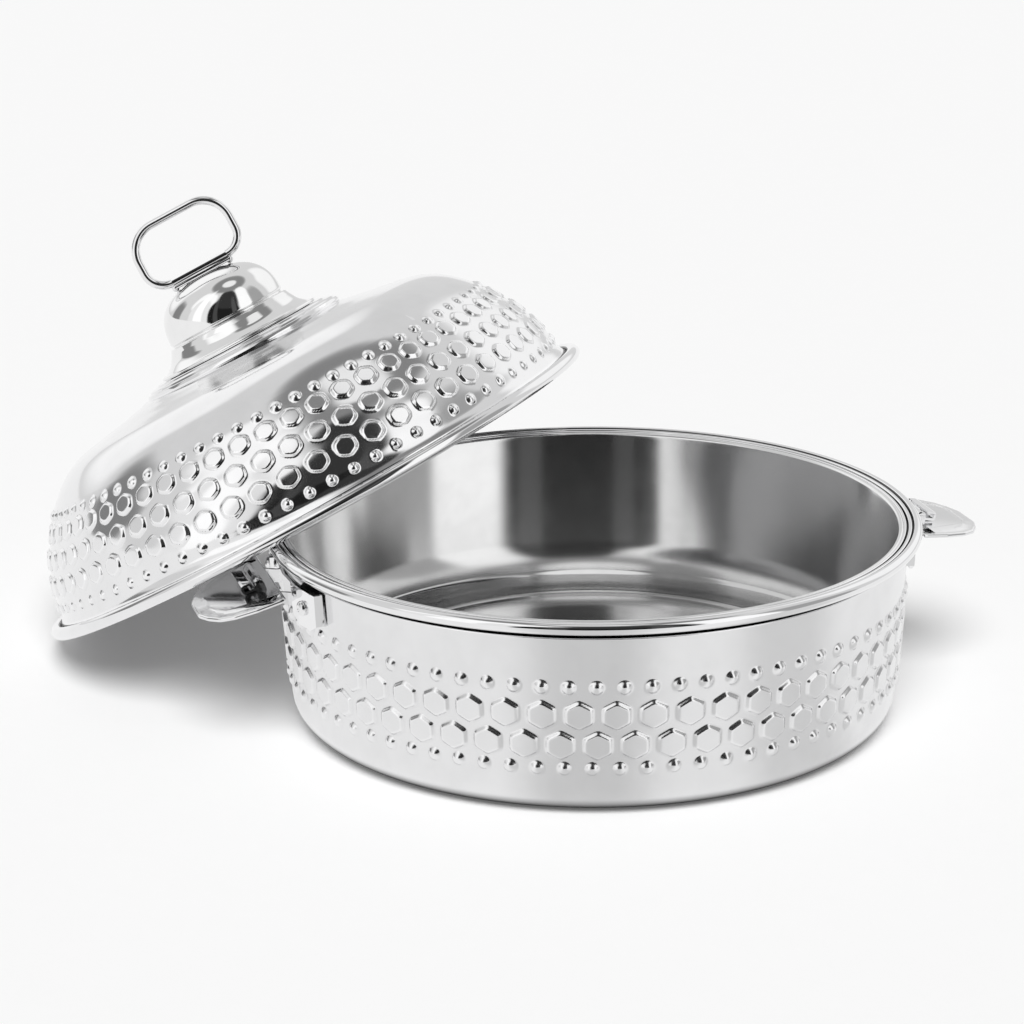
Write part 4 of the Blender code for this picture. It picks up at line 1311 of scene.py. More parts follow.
@dataclass(frozen=True)
class Pan:
    """The inner pan with its rounded corner and the rings of its floor.

    Attributes:
        lip_radius: Radius of the wall under the lip.
        foot_radius: Radius of the wall over the rounded corner.
        floor: Height of the floor's outer ring.
        sink: How far the middle of the floor lies under that.
        corner: Radius of the rounded corner.
        step: Radius of the step in the floor.
        step_line: Corners of the step, from its radius and the floor.
        wall_line: Points of the wall, as distance from the lip's radius and height.
        lip: Radius of the rolled lip.
        skirt: Length of the lip's outer side.
        neck: Depth of the sheet's back under the top, behind the lip.
        sheet: Thickness of the steel.
        top: Height of the lip.
        floor_share: Share of the corner, from the wall, that has the wall's finish.
    """

    lip_radius: float = 0.1392
    foot_radius: float = 0.1384
    floor: float = 0.0160
    sink: float = 0.0010
    corner: float = 0.018
    step: float = 0.114
    step_line: tuple[Corner, ...] = (
        (-0.0075, -0.0010, 0.006), (-0.0055, -0.0001, 0.002), (-0.0015, 0.0002, 0.003),
        (0.0010, -0.0003, 0.003),
    )
    wall_line: tuple[Point, ...] = ((-0.0002, 0.075), (0.0, 0.0870))
    lip: float = 0.0012
    skirt: float = 0.0028
    neck: float = 0.0030
    sheet: float = 0.0008
    top: float = 0.0897
    floor_share: float = 0.35

    def face(self) -> list[Point]:
        """Return the side of the sheet that is seen.

        Returns:
            Radius and height of each point, from the middle of the floor over the lip.
        """
        low = self.floor - self.sink
        line = filleted([(0.0, low, 0), *shifted(self.step_line, self.step, self.floor)], steps=5)
        line += arc(self.bend(), self.corner, -90, 0, steps=22)
        wall = [(self.lip_radius + x, height) for x, height in self.wall_line]
        line += eased([line[-1], *wall], spacing=0.006)[1:]
        line += arc((self.lip_radius + self.lip, self.top - self.lip), self.lip, 180, 0, steps=10)
        return line + [(line[-1][0], line[-1][1] - self.skirt)]

    def back(self) -> list[Point]:
        """Return the hidden side of the sheet.

        Returns:
            Radius and height of each point, from the lip's outer edge to the floor's middle.
        """
        return [
            (self.lip_radius + 2 * self.lip - self.sheet, self.top - self.lip - self.skirt),
            (self.lip_radius + self.sheet, self.top - self.neck),
            *arc(self.bend(), self.corner + self.sheet, 0, -90, steps=12),
            (0.0, self.floor - self.sink - self.sheet),
        ]

    def bend(self) -> Point:
        """Return the middle of the rounded corner."""
        return (self.foot_radius - self.corner, self.floor + self.corner)

    def build(self) -> None:
        """Build the pan as one sheet, with its own finish on the floor."""
        limit = self.foot_radius - self.floor_share * self.corner
        piece = Piece("pot", ("pot_inner_pan",), "polished_steel", PAN_STEEL, FLOOR_STEEL)
        piece.spin(
            "pan_drawn",
            self.face() + self.back(),
            columns=224,
            second=lambda radius, _: radius < limit,
        )


# Lid


@dataclass(frozen=True)
class LidFrame:
    """Where the lid leans: z = 0 of its own frame is the plane of its rolled edge.

    Attributes:
        tilt: Angle of the lid's axis from upright.
        lean: Azimuth towards which the lid's top leans.
        x: Place of the middle of its edge.
        y: The same, along Y.
        radius: Radius over the rolled edge.
        bead: Radius of the rolled edge's own section.
    """

    tilt: float = math.radians(29.5)
    lean: float = math.radians(162.7)
    x: float = -0.1351954
    y: float = 0.0964339
    radius: float = 0.1464
    bead: float = 0.0032

    def place(self) -> Matrix:
        """Return the lid's place.

        Returns:
            The place of the middle of its edge, whose Z is the lid's axis.
        """
        height = (self.radius - self.bead) * math.sin(self.tilt) + self.bead
        return (
            Matrix.Translation((self.x, self.y, height))
            @ Matrix.Rotation(self.lean, 4, "Z")
            @ Matrix.Rotation(self.tilt, 4, "Y")
        )


@dataclass(frozen=True)
class Lid:
    """The lid's embossed dome, its rolled edge and its inner shell.

    Attributes:
        frame: Where the lid leans.
        wall: Radius and height of points of the dome, from the edge to the neck.
        wall_spacing: Spacing of the smooth points between them.
        embossing: The rows on the dome.
        trim: How far the rolled edge stays inside its solid.
        roll: Angle that the rolled edge's outside covers, in degrees.
        curl: Corners of its inside, from the inner side of the bead.
        curl_end: The last corner: bead radii inside the edge, height and fillet.
        seam: Bead radii inside the edge from which its crevice, in painted shade, starts.
        seam_height: Height from which its crevice, in painted shade, starts.
        liner_gap: Gap between the edge and the inner shell.
        liner_lip: Width of the inner shell's flat lip.
        liner_height: Height of its top.
        liner_low: Height of its lip.
        liner_bend: Fillet between its wall and its lip.
        liner_shares: Points of its section, as shares of its radius and height.
        liner_spacing: Spacing of the smooth points between them.
        liner_back: How far its hidden side lies out and up from the seen one.
    """

    frame: LidFrame = LidFrame()
    wall: tuple[Point, ...] = (
        (0.1398, 0.0018), (0.1380, 0.0042), (0.1371, 0.0065), (0.1364, 0.0120), (0.1352, 0.0170),
        (0.1337, 0.0220), (0.1317, 0.0268), (0.1285, 0.0338), (0.1237, 0.0413), (0.1207, 0.0458),
        (0.1168, 0.0511), (0.1111, 0.0571), (0.1047, 0.0624), (0.0986, 0.0660), (0.0922, 0.0684),
        (0.0820, 0.0704), (0.0750, 0.0716), (0.0690, 0.0726), (0.0630, 0.0738), (0.0570, 0.0750),
        (0.0540, 0.0758), (0.0460, 0.0772), (0.0200, 0.0776), (0.0040, 0.0776),
    )
    wall_spacing: float = 0.0012
    embossing: Embossing = Embossing(
        count=58,
        turn=126.6,
        rise=0.00120,
        slope=0.0013,
        corner=8.0,
        hexes=((0.0207, 0.0112, 0.0116), (0.0322, 0.0110, 0.0116), (0.0430, 0.0106, 0.0114)),
        dots=((0.0502, 74, 123.5, 0.0054, 0.0013), (0.0103, 76, 92.7, 0.0052, 0.0013)),
        band=(0.0065, 0.0540),
    )
    trim: float = 0.0006
    roll: float = 200.0
    curl: tuple[Corner, ...] = (
        (0.0008, 0.0020, 0.0004), (0.0002, 0.0008, 0.0004), (0.0002, -0.0010, 0.001),
    )
    curl_end: Corner = (1.7, -0.0024, 0.001)
    seam: float = 1.55
    seam_height: float = 0.0012
    liner_gap: float = 0.0003
    liner_lip: float = 0.0076
    liner_height: float = 0.0660
    liner_low: float = 0.0004
    liner_bend: float = 0.0025
    liner_shares: tuple[Point, ...] = (
        (0.0, 1.0), (0.330, 0.975), (0.600, 0.90), (0.780, 0.75), (0.895, 0.52), (0.956, 0.28),
        (0.982, 0.06),
    )
    liner_spacing: float = 0.004
    liner_back: Pair = (0.0003, 0.0010)

    def level(self, height: float) -> float:
        """Return the distance along the wall of a height.

        Args:
            height: Height over the plane of the edge.

        Returns:
            The distance from the edge.
        """
        spots = np.array(self.wall)
        walked = np.concatenate(([0.0], np.cumsum(np.hypot(*np.diff(spots, axis=0).T))))
        return float(np.interp(height, spots[:, 1], walked))

    def edge_line(self, radius: float) -> list[Point]:
        """Return the section of the rolled edge.

        Args:
            radius: Radius over the edge.

        Returns:
            The points of its closed outline.
        """
        bead = self.frame.bead
        low = -90 + math.degrees(self.frame.tilt)
        line = arc((radius - bead, 0.0), bead, low, low + self.roll, steps=24)
        across, height, fillet = self.curl_end
        return line + filleted([
            line[-1] + (0,),
            *shifted(self.curl, radius - 2 * bead, 0.0),
            (radius - across * bead, height, fillet),
            line[0] + (0,),
        ])[1:-1]

    def liner_line(self, wall: float) -> list[Point]:
        """Return the section of the inner shell.

        Args:
            wall: Radius of its wall at the lip.

        Returns:
            The points of its closed outline.
        """
        dome = [(wall * x, self.liner_height * z) for x, z in self.liner_shares]
        line = eased(dome, self.liner_spacing)
        line += filleted([
            line[-1] + (0,),
            (wall, self.liner_low, self.liner_bend),
            (wall + self.liner_lip, self.liner_low, 0),
        ])[1:]
        out, up = self.liner_back
        back = [(x + out, z + up) for x, z in line[::-1]]
        return line + back[:-1] + [(0.0, back[-1][1])]

    def build(self) -> None:
        """Build the dome, the rolled edge and the inner shell."""
        place = self.frame.place()
        name = "lid_dome_embossed"
        dome = Piece("lid", ("lid_outer_shell",), "satin_steel", LID_STEEL)
        outline = eased(self.wall, self.wall_spacing)
        dome.place(name, self.embossing.shell(name, outline, self.level), place)

        radius, bead = self.frame.radius - self.trim, self.frame.bead
        seam = radius - self.seam * bead
        # The seam of the rolled edge gets the painted shade.
        edge = Piece("lid", ("lid_rim_bead",), "polished_steel", RIM_STEEL, GROOVE_SHADE)
        edge.spin(
            "lid_edge_rolled",
            self.edge_line(radius),
            columns=256,
            place=place,
            second=lambda spot, height: spot < seam and height > self.seam_height,
        )

        wall = radius - 2 * bead - self.liner_gap - self.liner_lip
        # The inner shell's finish is darkened with painted shade.
        liner = Piece("lid", ("lid_inner_shell",), "polished_steel", SHADED_LINER_STEEL)
        liner.spin("lid_liner_drawn", self.liner_line(wall), columns=192, place=place)
        finish_node("lid_insulation", INSULATION)


@dataclass(frozen=True)
class KnobFrame:
    """Where the knob stands on the lid: Z is the lid's axis and X the ring's hinge.

    Attributes:
        lid: Where the lid leans.
        turn: Angle between the lid's X and the ring's hinge.
        aside: Distance of the knob from the lid's axis, along the hinge.
    """

    lid: LidFrame = LidFrame()
    turn: float = math.radians(24.8)
    aside: float = -0.0022

    def place(self, rise: float = 0.0) -> Matrix:
        """Return the knob's place.

        Args:
            rise: Height over the plane of the lid's edge.

        Returns:
            The place.
        """
        return (
            self.lid.place()
            @ Matrix.Rotation(self.turn, 4, "Z")
            @ Matrix.Translation((self.aside, 0, rise))
        )


@dataclass(frozen=True)
class Knob:
    """The neck collar and the bell with its fixings.

    Attributes:
        frame: Where the knob stands.
        foot: Height of the bell's foot over the lid's edge.
        flange: Radius of the bell's flange.
        waist: Radius of the bell's waist.
        ball: Radius of its rounded top.
        height: Height of the bell.
        waist_height: Height of the waist.
        square: Power of the rounded top's outline, where 2 is an ellipse.
        sheet: Thickness of the steel.
        seat: Gap between the collar and the bell.
        collar_line: Radius, height from the collar's crest and fillet of its corners.
        waist_line: Corners of the bell's outside, from the waist's radius and the foot.
        flange_line: Corners of its flange, from the flange's radius and the foot.
        inside_line: Corners of its inside, from the waist's radius and the foot.
    """

    frame: KnobFrame = KnobFrame()
    foot: float = 0.0813
    flange: float = 0.0420
    waist: float = 0.0308
    ball: float = 0.0303
    height: float = 0.0366
    waist_height: float = 0.0130
    square: float = 2.5
    sheet: float = 0.0016
    seat: float = 0.0003
    collar_line: tuple[Corner, ...] = (
        (0.0200, -0.0031, 0), (0.0200, 0.0, 0.0004), (0.0452, 0.0, 0.0012),
        (0.0460, -0.0013, 0.0004), (0.0476, -0.0009, 0.0008), (0.0498, -0.0015, 0.0010),
        (0.0506, -0.0026, 0.0003), (0.0518, -0.0025, 0.0006), (0.0525, -0.0040, 0.0006),
        (0.0525, -0.0060, 0), (0.0455, -0.0046, 0),
    )
    waist_line: tuple[Corner, ...] = (
        (-0.0013, 0.0124, 0.0003), (-0.0012, 0.0117, 0.0004), (0.0006, 0.0114, 0.0008),
        (0.0018, 0.0090, 0.006), (0.0042, 0.0050, 0.008), (0.0078, 0.0020, 0.004),
    )
    flange_line: tuple[Corner, ...] = (
        (-0.0018, 0.0014, 0.0006), (-0.0004, 0.0016, 0.0004), (0.0, 0.0008, 0.0004),
        (-0.0004, 0.0, 0.0003),
    )
    inside_line: tuple[Corner, ...] = (
        (0.0078, 0.0, 0.0005), (0.0030, 0.0036, 0.004), (-0.0024, 0.0110, 0.002),
    )

    def ball_line(self, inset: float, steps: int) -> list[Point]:
        """Return the bell's rounded top from the axis outwards.

        Args:
            inset: Distance inside the outer side.
            steps: Facets from the crown to the waist.

        Returns:
            Radius and height of each point.
        """
        made = []
        low, tall = self.foot + self.waist_height, self.height - self.waist_height
        for i in range(steps + 1):
            rise = math.cos(math.pi / 2 * i / steps)
            radius = self.ball * (1 - rise**self.square) ** (1 / self.square)
            made.append((max(radius - inset, 0.0), low + tall * rise - inset))
        made[0] = (0.0, made[0][1])
        return made

    def build(self) -> None:
        """Build the collar and the bell."""
        place = self.frame.place()
        collar = filleted(shifted(self.collar_line, 0.0, self.foot - self.seat))
        neck = Piece("lid", ("lid_neck_collar",), "polished_steel", RIM_STEEL)
        neck.spin("neck_collar_turned", collar, columns=160, place=place)

        outer = self.ball_line(inset=0.0, steps=36)
        outer += filleted([
            outer[-1] + (0,),
            *shifted(self.waist_line, self.waist, self.foot),
            *shifted(self.flange_line, self.flange, self.foot),
            *shifted(self.inside_line, self.waist, self.foot),
        ])[1:]
        inner = self.ball_line(self.sheet, steps=14)[::-1]
        bell = Piece("lid", ("knob_bell",), "mirror_steel", BELL_STEEL)
        bell.spin("bell_turned", outer + inner, columns=160, place=place)
        for node in ("knob_stud", "knob_washer", "knob_nut"):
            finish_node(node, CLASP_STEEL)


@dataclass(frozen=True)
class RingHandle:
    """The swinging ring and the split saddle that holds its lower bar.

    Attributes:
        frame: Where the knob stands.
        crown: Height of the bell's top over the lid's edge.
        seat: Gap between the bell and the saddle.
        wire: Radius of the ring's wire.
        width: Width over the ring.
        height: Height over the ring.
        top_corner: Outer radius of its upper corners.
        foot_corner: Outer radius of its lower corners.
        around: Facets round the wire.
        saddle_length: Length of the saddle.
        saddle_sheet: Thickness of its steel.
        saddle_air: Gap between it and the wire.
        saddle_foot: Half width of its foot.
        skirt: Angle below the level at which its round sides end, in degrees.
        mouth: Half of the angle that it leaves open, in degrees.
        ball: Radius of the ball at each end.
        ball_rise: Height of the balls over the saddle's foot.
    """

    frame: KnobFrame = KnobFrame()
    crown: float = 0.1172
    seat: float = 0.0003
    wire: float = 0.0021
    width: float = 0.0535
    height: float = 0.0338
    top_corner: float = 0.0162
    foot_corner: float = 0.0118
    around: int = 32
    saddle_length: float = 0.0296
    saddle_sheet: float = 0.0012
    saddle_air: float = 0.00035
    saddle_foot: float = 0.0042
    skirt: float = 40.0
    mouth: float = 58.0
    ball: float = 0.0019
    ball_rise: float = 0.0008

    def axis(self) -> Matrix:
        """Return the place of the ring's own axes, with its hinge along X."""
        rise = self.crown + self.seat + self.wire + self.saddle_air + self.saddle_sheet
        return self.frame.place(rise)

    def loop(self, steps: int) -> list[Point]:
        """Return the middle line of the wire in the ring's X and Z.

        Args:
            steps: Facets in each corner.

        Returns:
            The points of a closed line.
        """
        half = self.width / 2 - self.wire
        high = self.height - 2 * self.wire
        low_r, top_r = self.foot_corner - self.wire, self.top_corner - self.wire
        return (
            arc((half - low_r, low_r), low_r, -90, 0, steps)
            + arc((half - top_r, high - top_r), top_r, 0, 90, steps)
            + arc((top_r - half, high - top_r), top_r, 90, 180, steps)
            + arc((low_r - half, low_r), low_r, 180, 270, steps)
        )

    def wire_mesh(self) -> bpy.types.Mesh:
        """Return the ring as a swept tube.

        Returns:
            A closed mesh in the ring's own axes.
        """
        path = self.loop(steps=18)
        spots = []
        for i, (x, z) in enumerate(path):
            ahead = Vector(path[(i + 1) % len(path)]) - Vector(path[i - 1])
            side = Vector((ahead.y, -ahead.x)).normalized()
            for turn in np.linspace(0, 2 * math.pi, self.around, endpoint=False):
                out, over = self.wire * math.cos(turn), self.wire * math.sin(turn)
                spots.append((x + side.x * out, over, z + side.y * out))
        rings = np.arange(len(spots)).reshape(len(path), self.around)
        return smooth_mesh("ring_bent", np.array(spots), joined_rings(rings))

    def saddle_mesh(self) -> bpy.types.Mesh:
        """Return the split saddle: a channel round the bar, with a ball at each end.

        Returns:
            A mesh of closed solids in the ring's own axes.
        """
        inner = self.wire + self.saddle_air
        outer = inner + self.saddle_sheet
        right, left = 90 - self.mouth, 90 + self.mouth
        line = (
            arc((0, 0), outer, -self.skirt, right, steps=12)
            + arc((0, 0), inner, right, left - 360, steps=30)
            + arc((0, 0), outer, left, 180 + self.skirt, steps=12)
            + [(-self.saddle_foot, -outer), (self.saddle_foot, -outer)]
        )
        bm = bmesh.new()
        half = self.saddle_length / 2
        ends = [[bm.verts.new((side * half, y, z)) for y, z in line] for side in (-1, 1)]
        count = len(line)
        for k in range(count):
            after = (k + 1) % count
            bm.faces.new((ends[0][k], ends[1][k], ends[1][after], ends[0][after]))
        bm.faces.new(ends[1])
        bm.faces.new(ends[0][::-1])
        bmesh.ops.recalc_face_normals(bm, faces=bm.faces)
        for side in (-1, 1):
            spot = Matrix.Translation((side * half, 0.0, -outer + self.ball_rise))
            bmesh.ops.create_uvsphere(
                bm, u_segments=20, v_segments=12, radius=self.ball, matrix=spot
            )
        return crisp("saddle_split", bm, SHARP)

    def build(self) -> None:
        """Build the ring and the saddle."""
        ring = Piece("ring", ("ring_handle",), "mirror_steel", RING_STEEL)
        ring.place("ring_bent", self.wire_mesh(), self.axis())
        saddle = Piece("lid", ("ring_saddle",), "mirror_steel", RING_STEEL)
        saddle.place("saddle_split", self.saddle_mesh(), self.axis())


# Clasps


@dataclass(frozen=True)
class LeverPlate:
    """The folded plate of a lever with its ears and knuckles.

    X points out from the pivot and Y runs along the pin.

    Attributes:
        tail: Length behind the pivot.
        reach: Length in front of the pivot.
        root_half: Half width at the root.
        tip_half: Half width of the straight front edge.
        rise: Height of the plate's top over the pivot.
        sheet: Thickness of the steel.
        fold: Height of the folded edge.
        hook_x: Distance of the hook's pin from the pivot.
        hook_barrel: Radius of the knuckles round the hook's pin.
        hook_lift: Gap between the plate and the knuckles' barrel.
        knuckle_y: Distance of the knuckles from the middle.
        ear_y: Distance of the ears from the middle.
        ear_end: Radius of the ears round the pivot.
        ear_nick: How much shorter an ear is behind the pivot.
        ear_start: Angle at which an ear's round end starts, in degrees.
        tab: Thickness of ears and knuckles.
        tab_sink: Depth of their foot under the middle of the sheet.
        soft_root: Fillet of the plate's corner behind the pivot.
        soft_side: Fillet of its widest corner.
        soft_front: Fillets of the corners in front of that.
        width_shares: Corners of its side, as shares of its length and of its spread in width.
        panel: Inset and height from the top of the raised panel and the border round it.
        fold_bend: Radius of the fold.
        fold_drop: Depth of the fold's middle under the top.
        hem: Inset and height from the fold's foot of its lower edge.
        under: Inset and height from the sheet's underside of the hidden side.
        root_flat: Width at the root over which the fold is left out.
        root_share: Share of the fold's height that is left there.
    """

    tail: float = 0.0025
    reach: float = 0.0345
    root_half: float = 0.0320
    tip_half: float = 0.0085
    rise: float = 0.0038
    sheet: float = 0.0012
    fold: float = 0.0022
    hook_x: float = 0.0045
    hook_barrel: float = 0.0023
    hook_lift: float = 0.0003
    knuckle_y: float = 0.0120
    ear_y: float = 0.0189
    ear_end: float = 0.0025
    ear_nick: float = 0.0004
    ear_start: float = 188.0
    tab: float = 0.0014
    tab_sink: float = 0.0002
    soft_root: float = 0.0015
    soft_side: float = 0.0025
    soft_front: float = 0.006
    width_shares: tuple[Point, ...] = (
        (0.0, 1.0), (0.32, 0.94), (0.62, 0.80), (0.80, 0.61), (0.92, 0.32), (1.0, 0.0),
    )
    panel: tuple[Point, ...] = (
        (0.0068, 0.0), (0.0058, -0.0001), (0.0050, -0.0004), (0.0016, -0.0004),
    )
    fold_bend: float = 0.0011
    fold_drop: float = 0.0015
    hem: tuple[Point, ...] = ((0.0, 0.0003), (0.0003, 0.0), (0.0008, 0.0), (0.0011, 0.0003))
    under: tuple[Point, ...] = ((0.0011, -0.0004), (0.0016, 0.0), (0.0068, 0.0))
    root_flat: float = 0.0008
    root_share: float = 0.1

    def half_outline(self) -> list[Corner]:
        """Return the corners of one half of the plate.

        Returns:
            Place along X, half width and fillet of each corner, from root to tip.
        """
        step = self.root_half - self.tip_half
        corners = [(-self.tail, 0.0, 0), (-self.tail, self.root_half, self.soft_root)]
        for along, wide in self.width_shares:
            soft = self.soft_front if along else self.soft_side
            corners.append((self.reach * along, self.tip_half + step * wide, soft))
        return corners + [(self.reach, 0.0, 0)]

    def outline(self) -> np.ndarray:
        """Return the whole outline of the plate.

        Returns:
            X and Y of its points, anticlockwise, without repeated ones.
        """
        half = filleted(self.half_outline())
        whole = [(x, -y) for x, y in half] + [(x, y) for x, y in half[::-1]]
        kept = [whole[0]]
        for spot in whole[1:]:
            if math.dist(spot, kept[-1]) > SAME_SPOT:
                kept.append(spot)
        if math.dist(kept[0], kept[-1]) < SAME_SPOT:
            kept.pop()
        return np.array(kept)

    def section(self) -> list[Point]:
        """Return the section of the plate's edge.

        Returns:
            Inset and height of each point, from the raised panel round the fold to the underside.
        """
        centre = (self.fold_bend, self.rise - self.fold_drop)
        return [
            *((inset, self.rise + up) for inset, up in self.panel),
            *arc(centre, self.fold_bend, 90, 180, steps=5),
            *((inset, self.rise - self.fold + up) for inset, up in self.hem),
            *((inset, self.rise - self.sheet + up) for inset, up in self.under),
        ]

    def plate(self, bm: bmesh.types.BMesh) -> None:
        """Add the plate to a mesh.

        Args:
            bm: The mesh that it is added to.
        """
        line = self.outline()
        along = np.roll(line, -1, axis=0) - np.roll(line, 1, axis=0)
        along /= np.linalg.norm(along, axis=1)[:, None]
        inward = np.stack([-along[:, 1], along[:, 0]], axis=1)
        under = self.rise - self.sheet
        rings = []
        for inset, height in self.section():
            spots = line + inward * inset
            ring = []
            for (x, y), (edge_x, _) in zip(spots.tolist(), line.tolist()):
                at_root = edge_x < self.root_flat - self.tail and height < under
                share = self.root_share if at_root else 1.0
                ring.append(bm.verts.new((x, y, under + share * (height - under))))
            rings.append(ring)
        count = len(line)
        for outer, inner in zip(rings[1:], rings):
            for k in range(count):
                after = (k + 1) % count
                bm.faces.new((inner[k], outer[k], outer[after], inner[after]))
        bm.faces.new(rings[0])
        bm.faces.new(rings[-1][::-1])

    def tab_solid(self, bm: bmesh.types.BMesh, outline: Sequence[Point], middle: float) -> None:
        """Add a flat tab that stands across the pin.

        Args:
            bm: The mesh that it is added to.
            outline: Its outline in X and Z.
            middle: Its place along the pin.
        """
        sides = [
            [bm.verts.new((x, middle + side * self.tab / 2, z)) for x, z in outline]
            for side in (-1, 1)
        ]
        made = [bm.faces.new(sides[0][::-1]), bm.faces.new(sides[1])]
        for k, after in enumerate([*range(1, len(outline)), 0]):
            made.append(bm.faces.new((sides[0][k], sides[0][after], sides[1][after], sides[1][k])))
        bmesh.ops.recalc_face_normals(bm, faces=made)

    def mesh(self, name: str) -> bpy.types.Mesh:
        """Return the lever as a mesh of closed solids.

        Args:
            name: Name of the mesh.

        Returns:
            The mesh.
        """
        bm = bmesh.new()
        self.plate(bm)
        bmesh.ops.recalc_face_normals(bm, faces=bm.faces)
        foot = self.rise - self.sheet / 2 - self.tab_sink
        hook_z = self.rise + self.hook_lift + self.hook_barrel
        knuckle = [(self.hook_x + side * self.hook_barrel, foot) for side in (-1, 1)]
        knuckle += arc((self.hook_x, hook_z), self.hook_barrel, 0, 180, steps=16)
        ear = [(self.ear_end, foot), (-self.ear_end + self.ear_nick, foot)]
        ear += arc((0.0, 0.0), self.ear_end, self.ear_start, 360, steps=16)
        for side in (-1, 1):
            self.tab_solid(bm, knuckle, side * self.knuckle_y)
            self.tab_solid(bm, ear, side * self.ear_y)
        return crisp(name, bm, FOLD_SHARP)


@dataclass(frozen=True)
class Rivet:
    """A rivet with a dimpled head, standing on a pad.

    Attributes:
        wall: Radius of the pot's wall at the rivet.
        height: Height of the rivet over the table.
        face: Height of the pad's face over the wall.
        head: Radius of the head.
        dome: Height of the head.
        shank: Radius of the shank.
        tail: Length of the shank inside the wall.
        dimple: Radius, height from the head's top and fillet of the dimple's corners.
        shoulder: The corner outside it, from the head's radius and top.
        brim: Height of the head's straight side, which is its fillet too.
    """

    wall: float = 0.1431
    height: float = 0.0723
    face: float = 0.0048
    head: float = 0.0034
    dome: float = 0.0020
    shank: float = 0.0016
    tail: float = 0.0014
    dimple: tuple[Corner, ...] = (
        (0.0, -0.0008, 0), (0.0007, -0.0007, 0.0004), (0.0012, 0.0, 0.0003), (0.0019, 0.0, 0.0004),
    )
    shoulder: Corner = (-0.0004, -0.0007, 0.0006)
    brim: float = 0.0004

    def outline(self) -> list[Point]:
        """Return the section of the rivet, with its axis along Z.

        Returns:
            Radius and height of each point, from the dimple to the tail.
        """
        top = self.face + self.dome
        return filleted([
            *shifted(self.dimple, 0.0, top),
            *shifted([self.shoulder], self.head, top),
            (self.head, self.face + self.brim, self.brim),
            (self.head, self.face, 0),
            (self.shank, self.face, 0),
            (self.shank, -self.tail, 0),
            (0.0, -self.tail, 0),
        ])

    def place(self, azimuth: float) -> Matrix:
        """Return the place of the rivet.

        Args:
            azimuth: Its azimuth on the pot.

        Returns:
            The place, whose Z points out of the wall.
        """
        return (
            Matrix.Rotation(azimuth, 4, "Z")
            @ Matrix.Translation((self.wall, 0, self.height))
            @ Matrix.Rotation(math.pi / 2, 4, "Y")
        )


class Side(Enum):
    """The side of the pot on which a clasp sits."""

    RIGHT = "right"
    LEFT = "left"


@dataclass(frozen=True)
class Clasp:
    """One side clasp, in a frame whose X points away from the pot's axis.

    Attributes:
        side: The side that it sits on.
        azimuth: Azimuth of its middle.
        droop: How far its lever hangs below the level at rest.
        pivot_out: Distance of the lever's pin from the pot's axis.
        pivot_height: Height of the lever's pin.
        pad: Angle between its middle and each rivet.
        lever: The lever's shape.
        rivet: The rivets' shape.
        strap_bevel: Bevel on the bracket's edges.
        hook_bevel: Bevel on the hook's edges.
        pin_bevel: Bevel on the pins' edges.
    """

    side: Side
    azimuth: float
    droop: float
    pivot_out: float = 0.1520
    pivot_height: float = 0.0732
    pad: float = math.radians(13.2)
    lever: LeverPlate = LeverPlate()
    rivet: Rivet = Rivet()
    strap_bevel: float = 0.0004
    hook_bevel: float = 0.0003
    pin_bevel: float = 0.0002

    def build(self) -> None:
        """Dress the clasp's bracket, rivets, lever and hook."""
        side = self.side.value
        finish_node(f"bracket_{side}", CLASP_STEEL, self.strap_bevel)
        finish_node(f"hook_{side}", CLASP_STEEL, self.hook_bevel)
        for pin in ("lever_pin", "hook_pin"):
            finish_node(f"{pin}_{side}", RING_STEEL, self.pin_bevel)
        place = (
            Matrix.Rotation(self.azimuth, 4, "Z")
            @ Matrix.Translation((self.pivot_out, 0, self.pivot_height))
            @ Matrix.Rotation(self.droop, 4, "Y")
        )
        node, name = f"lever_{side}", f"lever_folded_{side}"
        Piece(node, (node,), "clasp_steel", CLASP_STEEL).place(name, self.lever.mesh(name), place)
        to_front = self.pad if self.side is Side.LEFT else -self.pad
        for end, turn in (("front", to_front), ("back", -to_front)):
            node = f"rivet_{side}_{end}"
            rivet = Piece("pot", (node,), "clasp_steel", RING_STEEL)
            where = self.rivet.place(self.azimuth + turn)
            rivet.spin(f"{node}_dimpled", self.rivet.outline(), columns=48, place=where)


# Studio


@dataclass(frozen=True)
class Softbox:
    """A bright or dark field of the studio with rounded soft edges, seen in the steel.

    Attributes:
        turn: Azimuths between which it lies, in degrees from the camera's side towards +X.
        rise: Elevations between which it lies, in degrees.
        level: Its brightness.
        soft: Share of its half width over which its edge fades.
    """

    turn: Pair
    rise: Pair
    level: float
    soft: float = 0.18

    def mask(self, turn: Signal, rise: Signal) -> Signal:
        """Return 1 inside the field and 0 outside.

        Args:
            turn: Azimuth of the ray, in degrees.
            rise: Elevation of the ray, in degrees.

        Returns:
            The share of the field that the ray sees.
        """
        across = (turn - sum(self.turn) / 2) * (2 / (self.turn[1] - self.turn[0]))
        along = (rise - sum(self.rise) / 2) * (2 / (self.rise[1] - self.rise[0]))
        across, along = across * across, along * along
        reach = across * across + along * along
        return 1.0 - reach.step((1.0 - self.soft) ** 4, (1.0 + self.soft) ** 4)


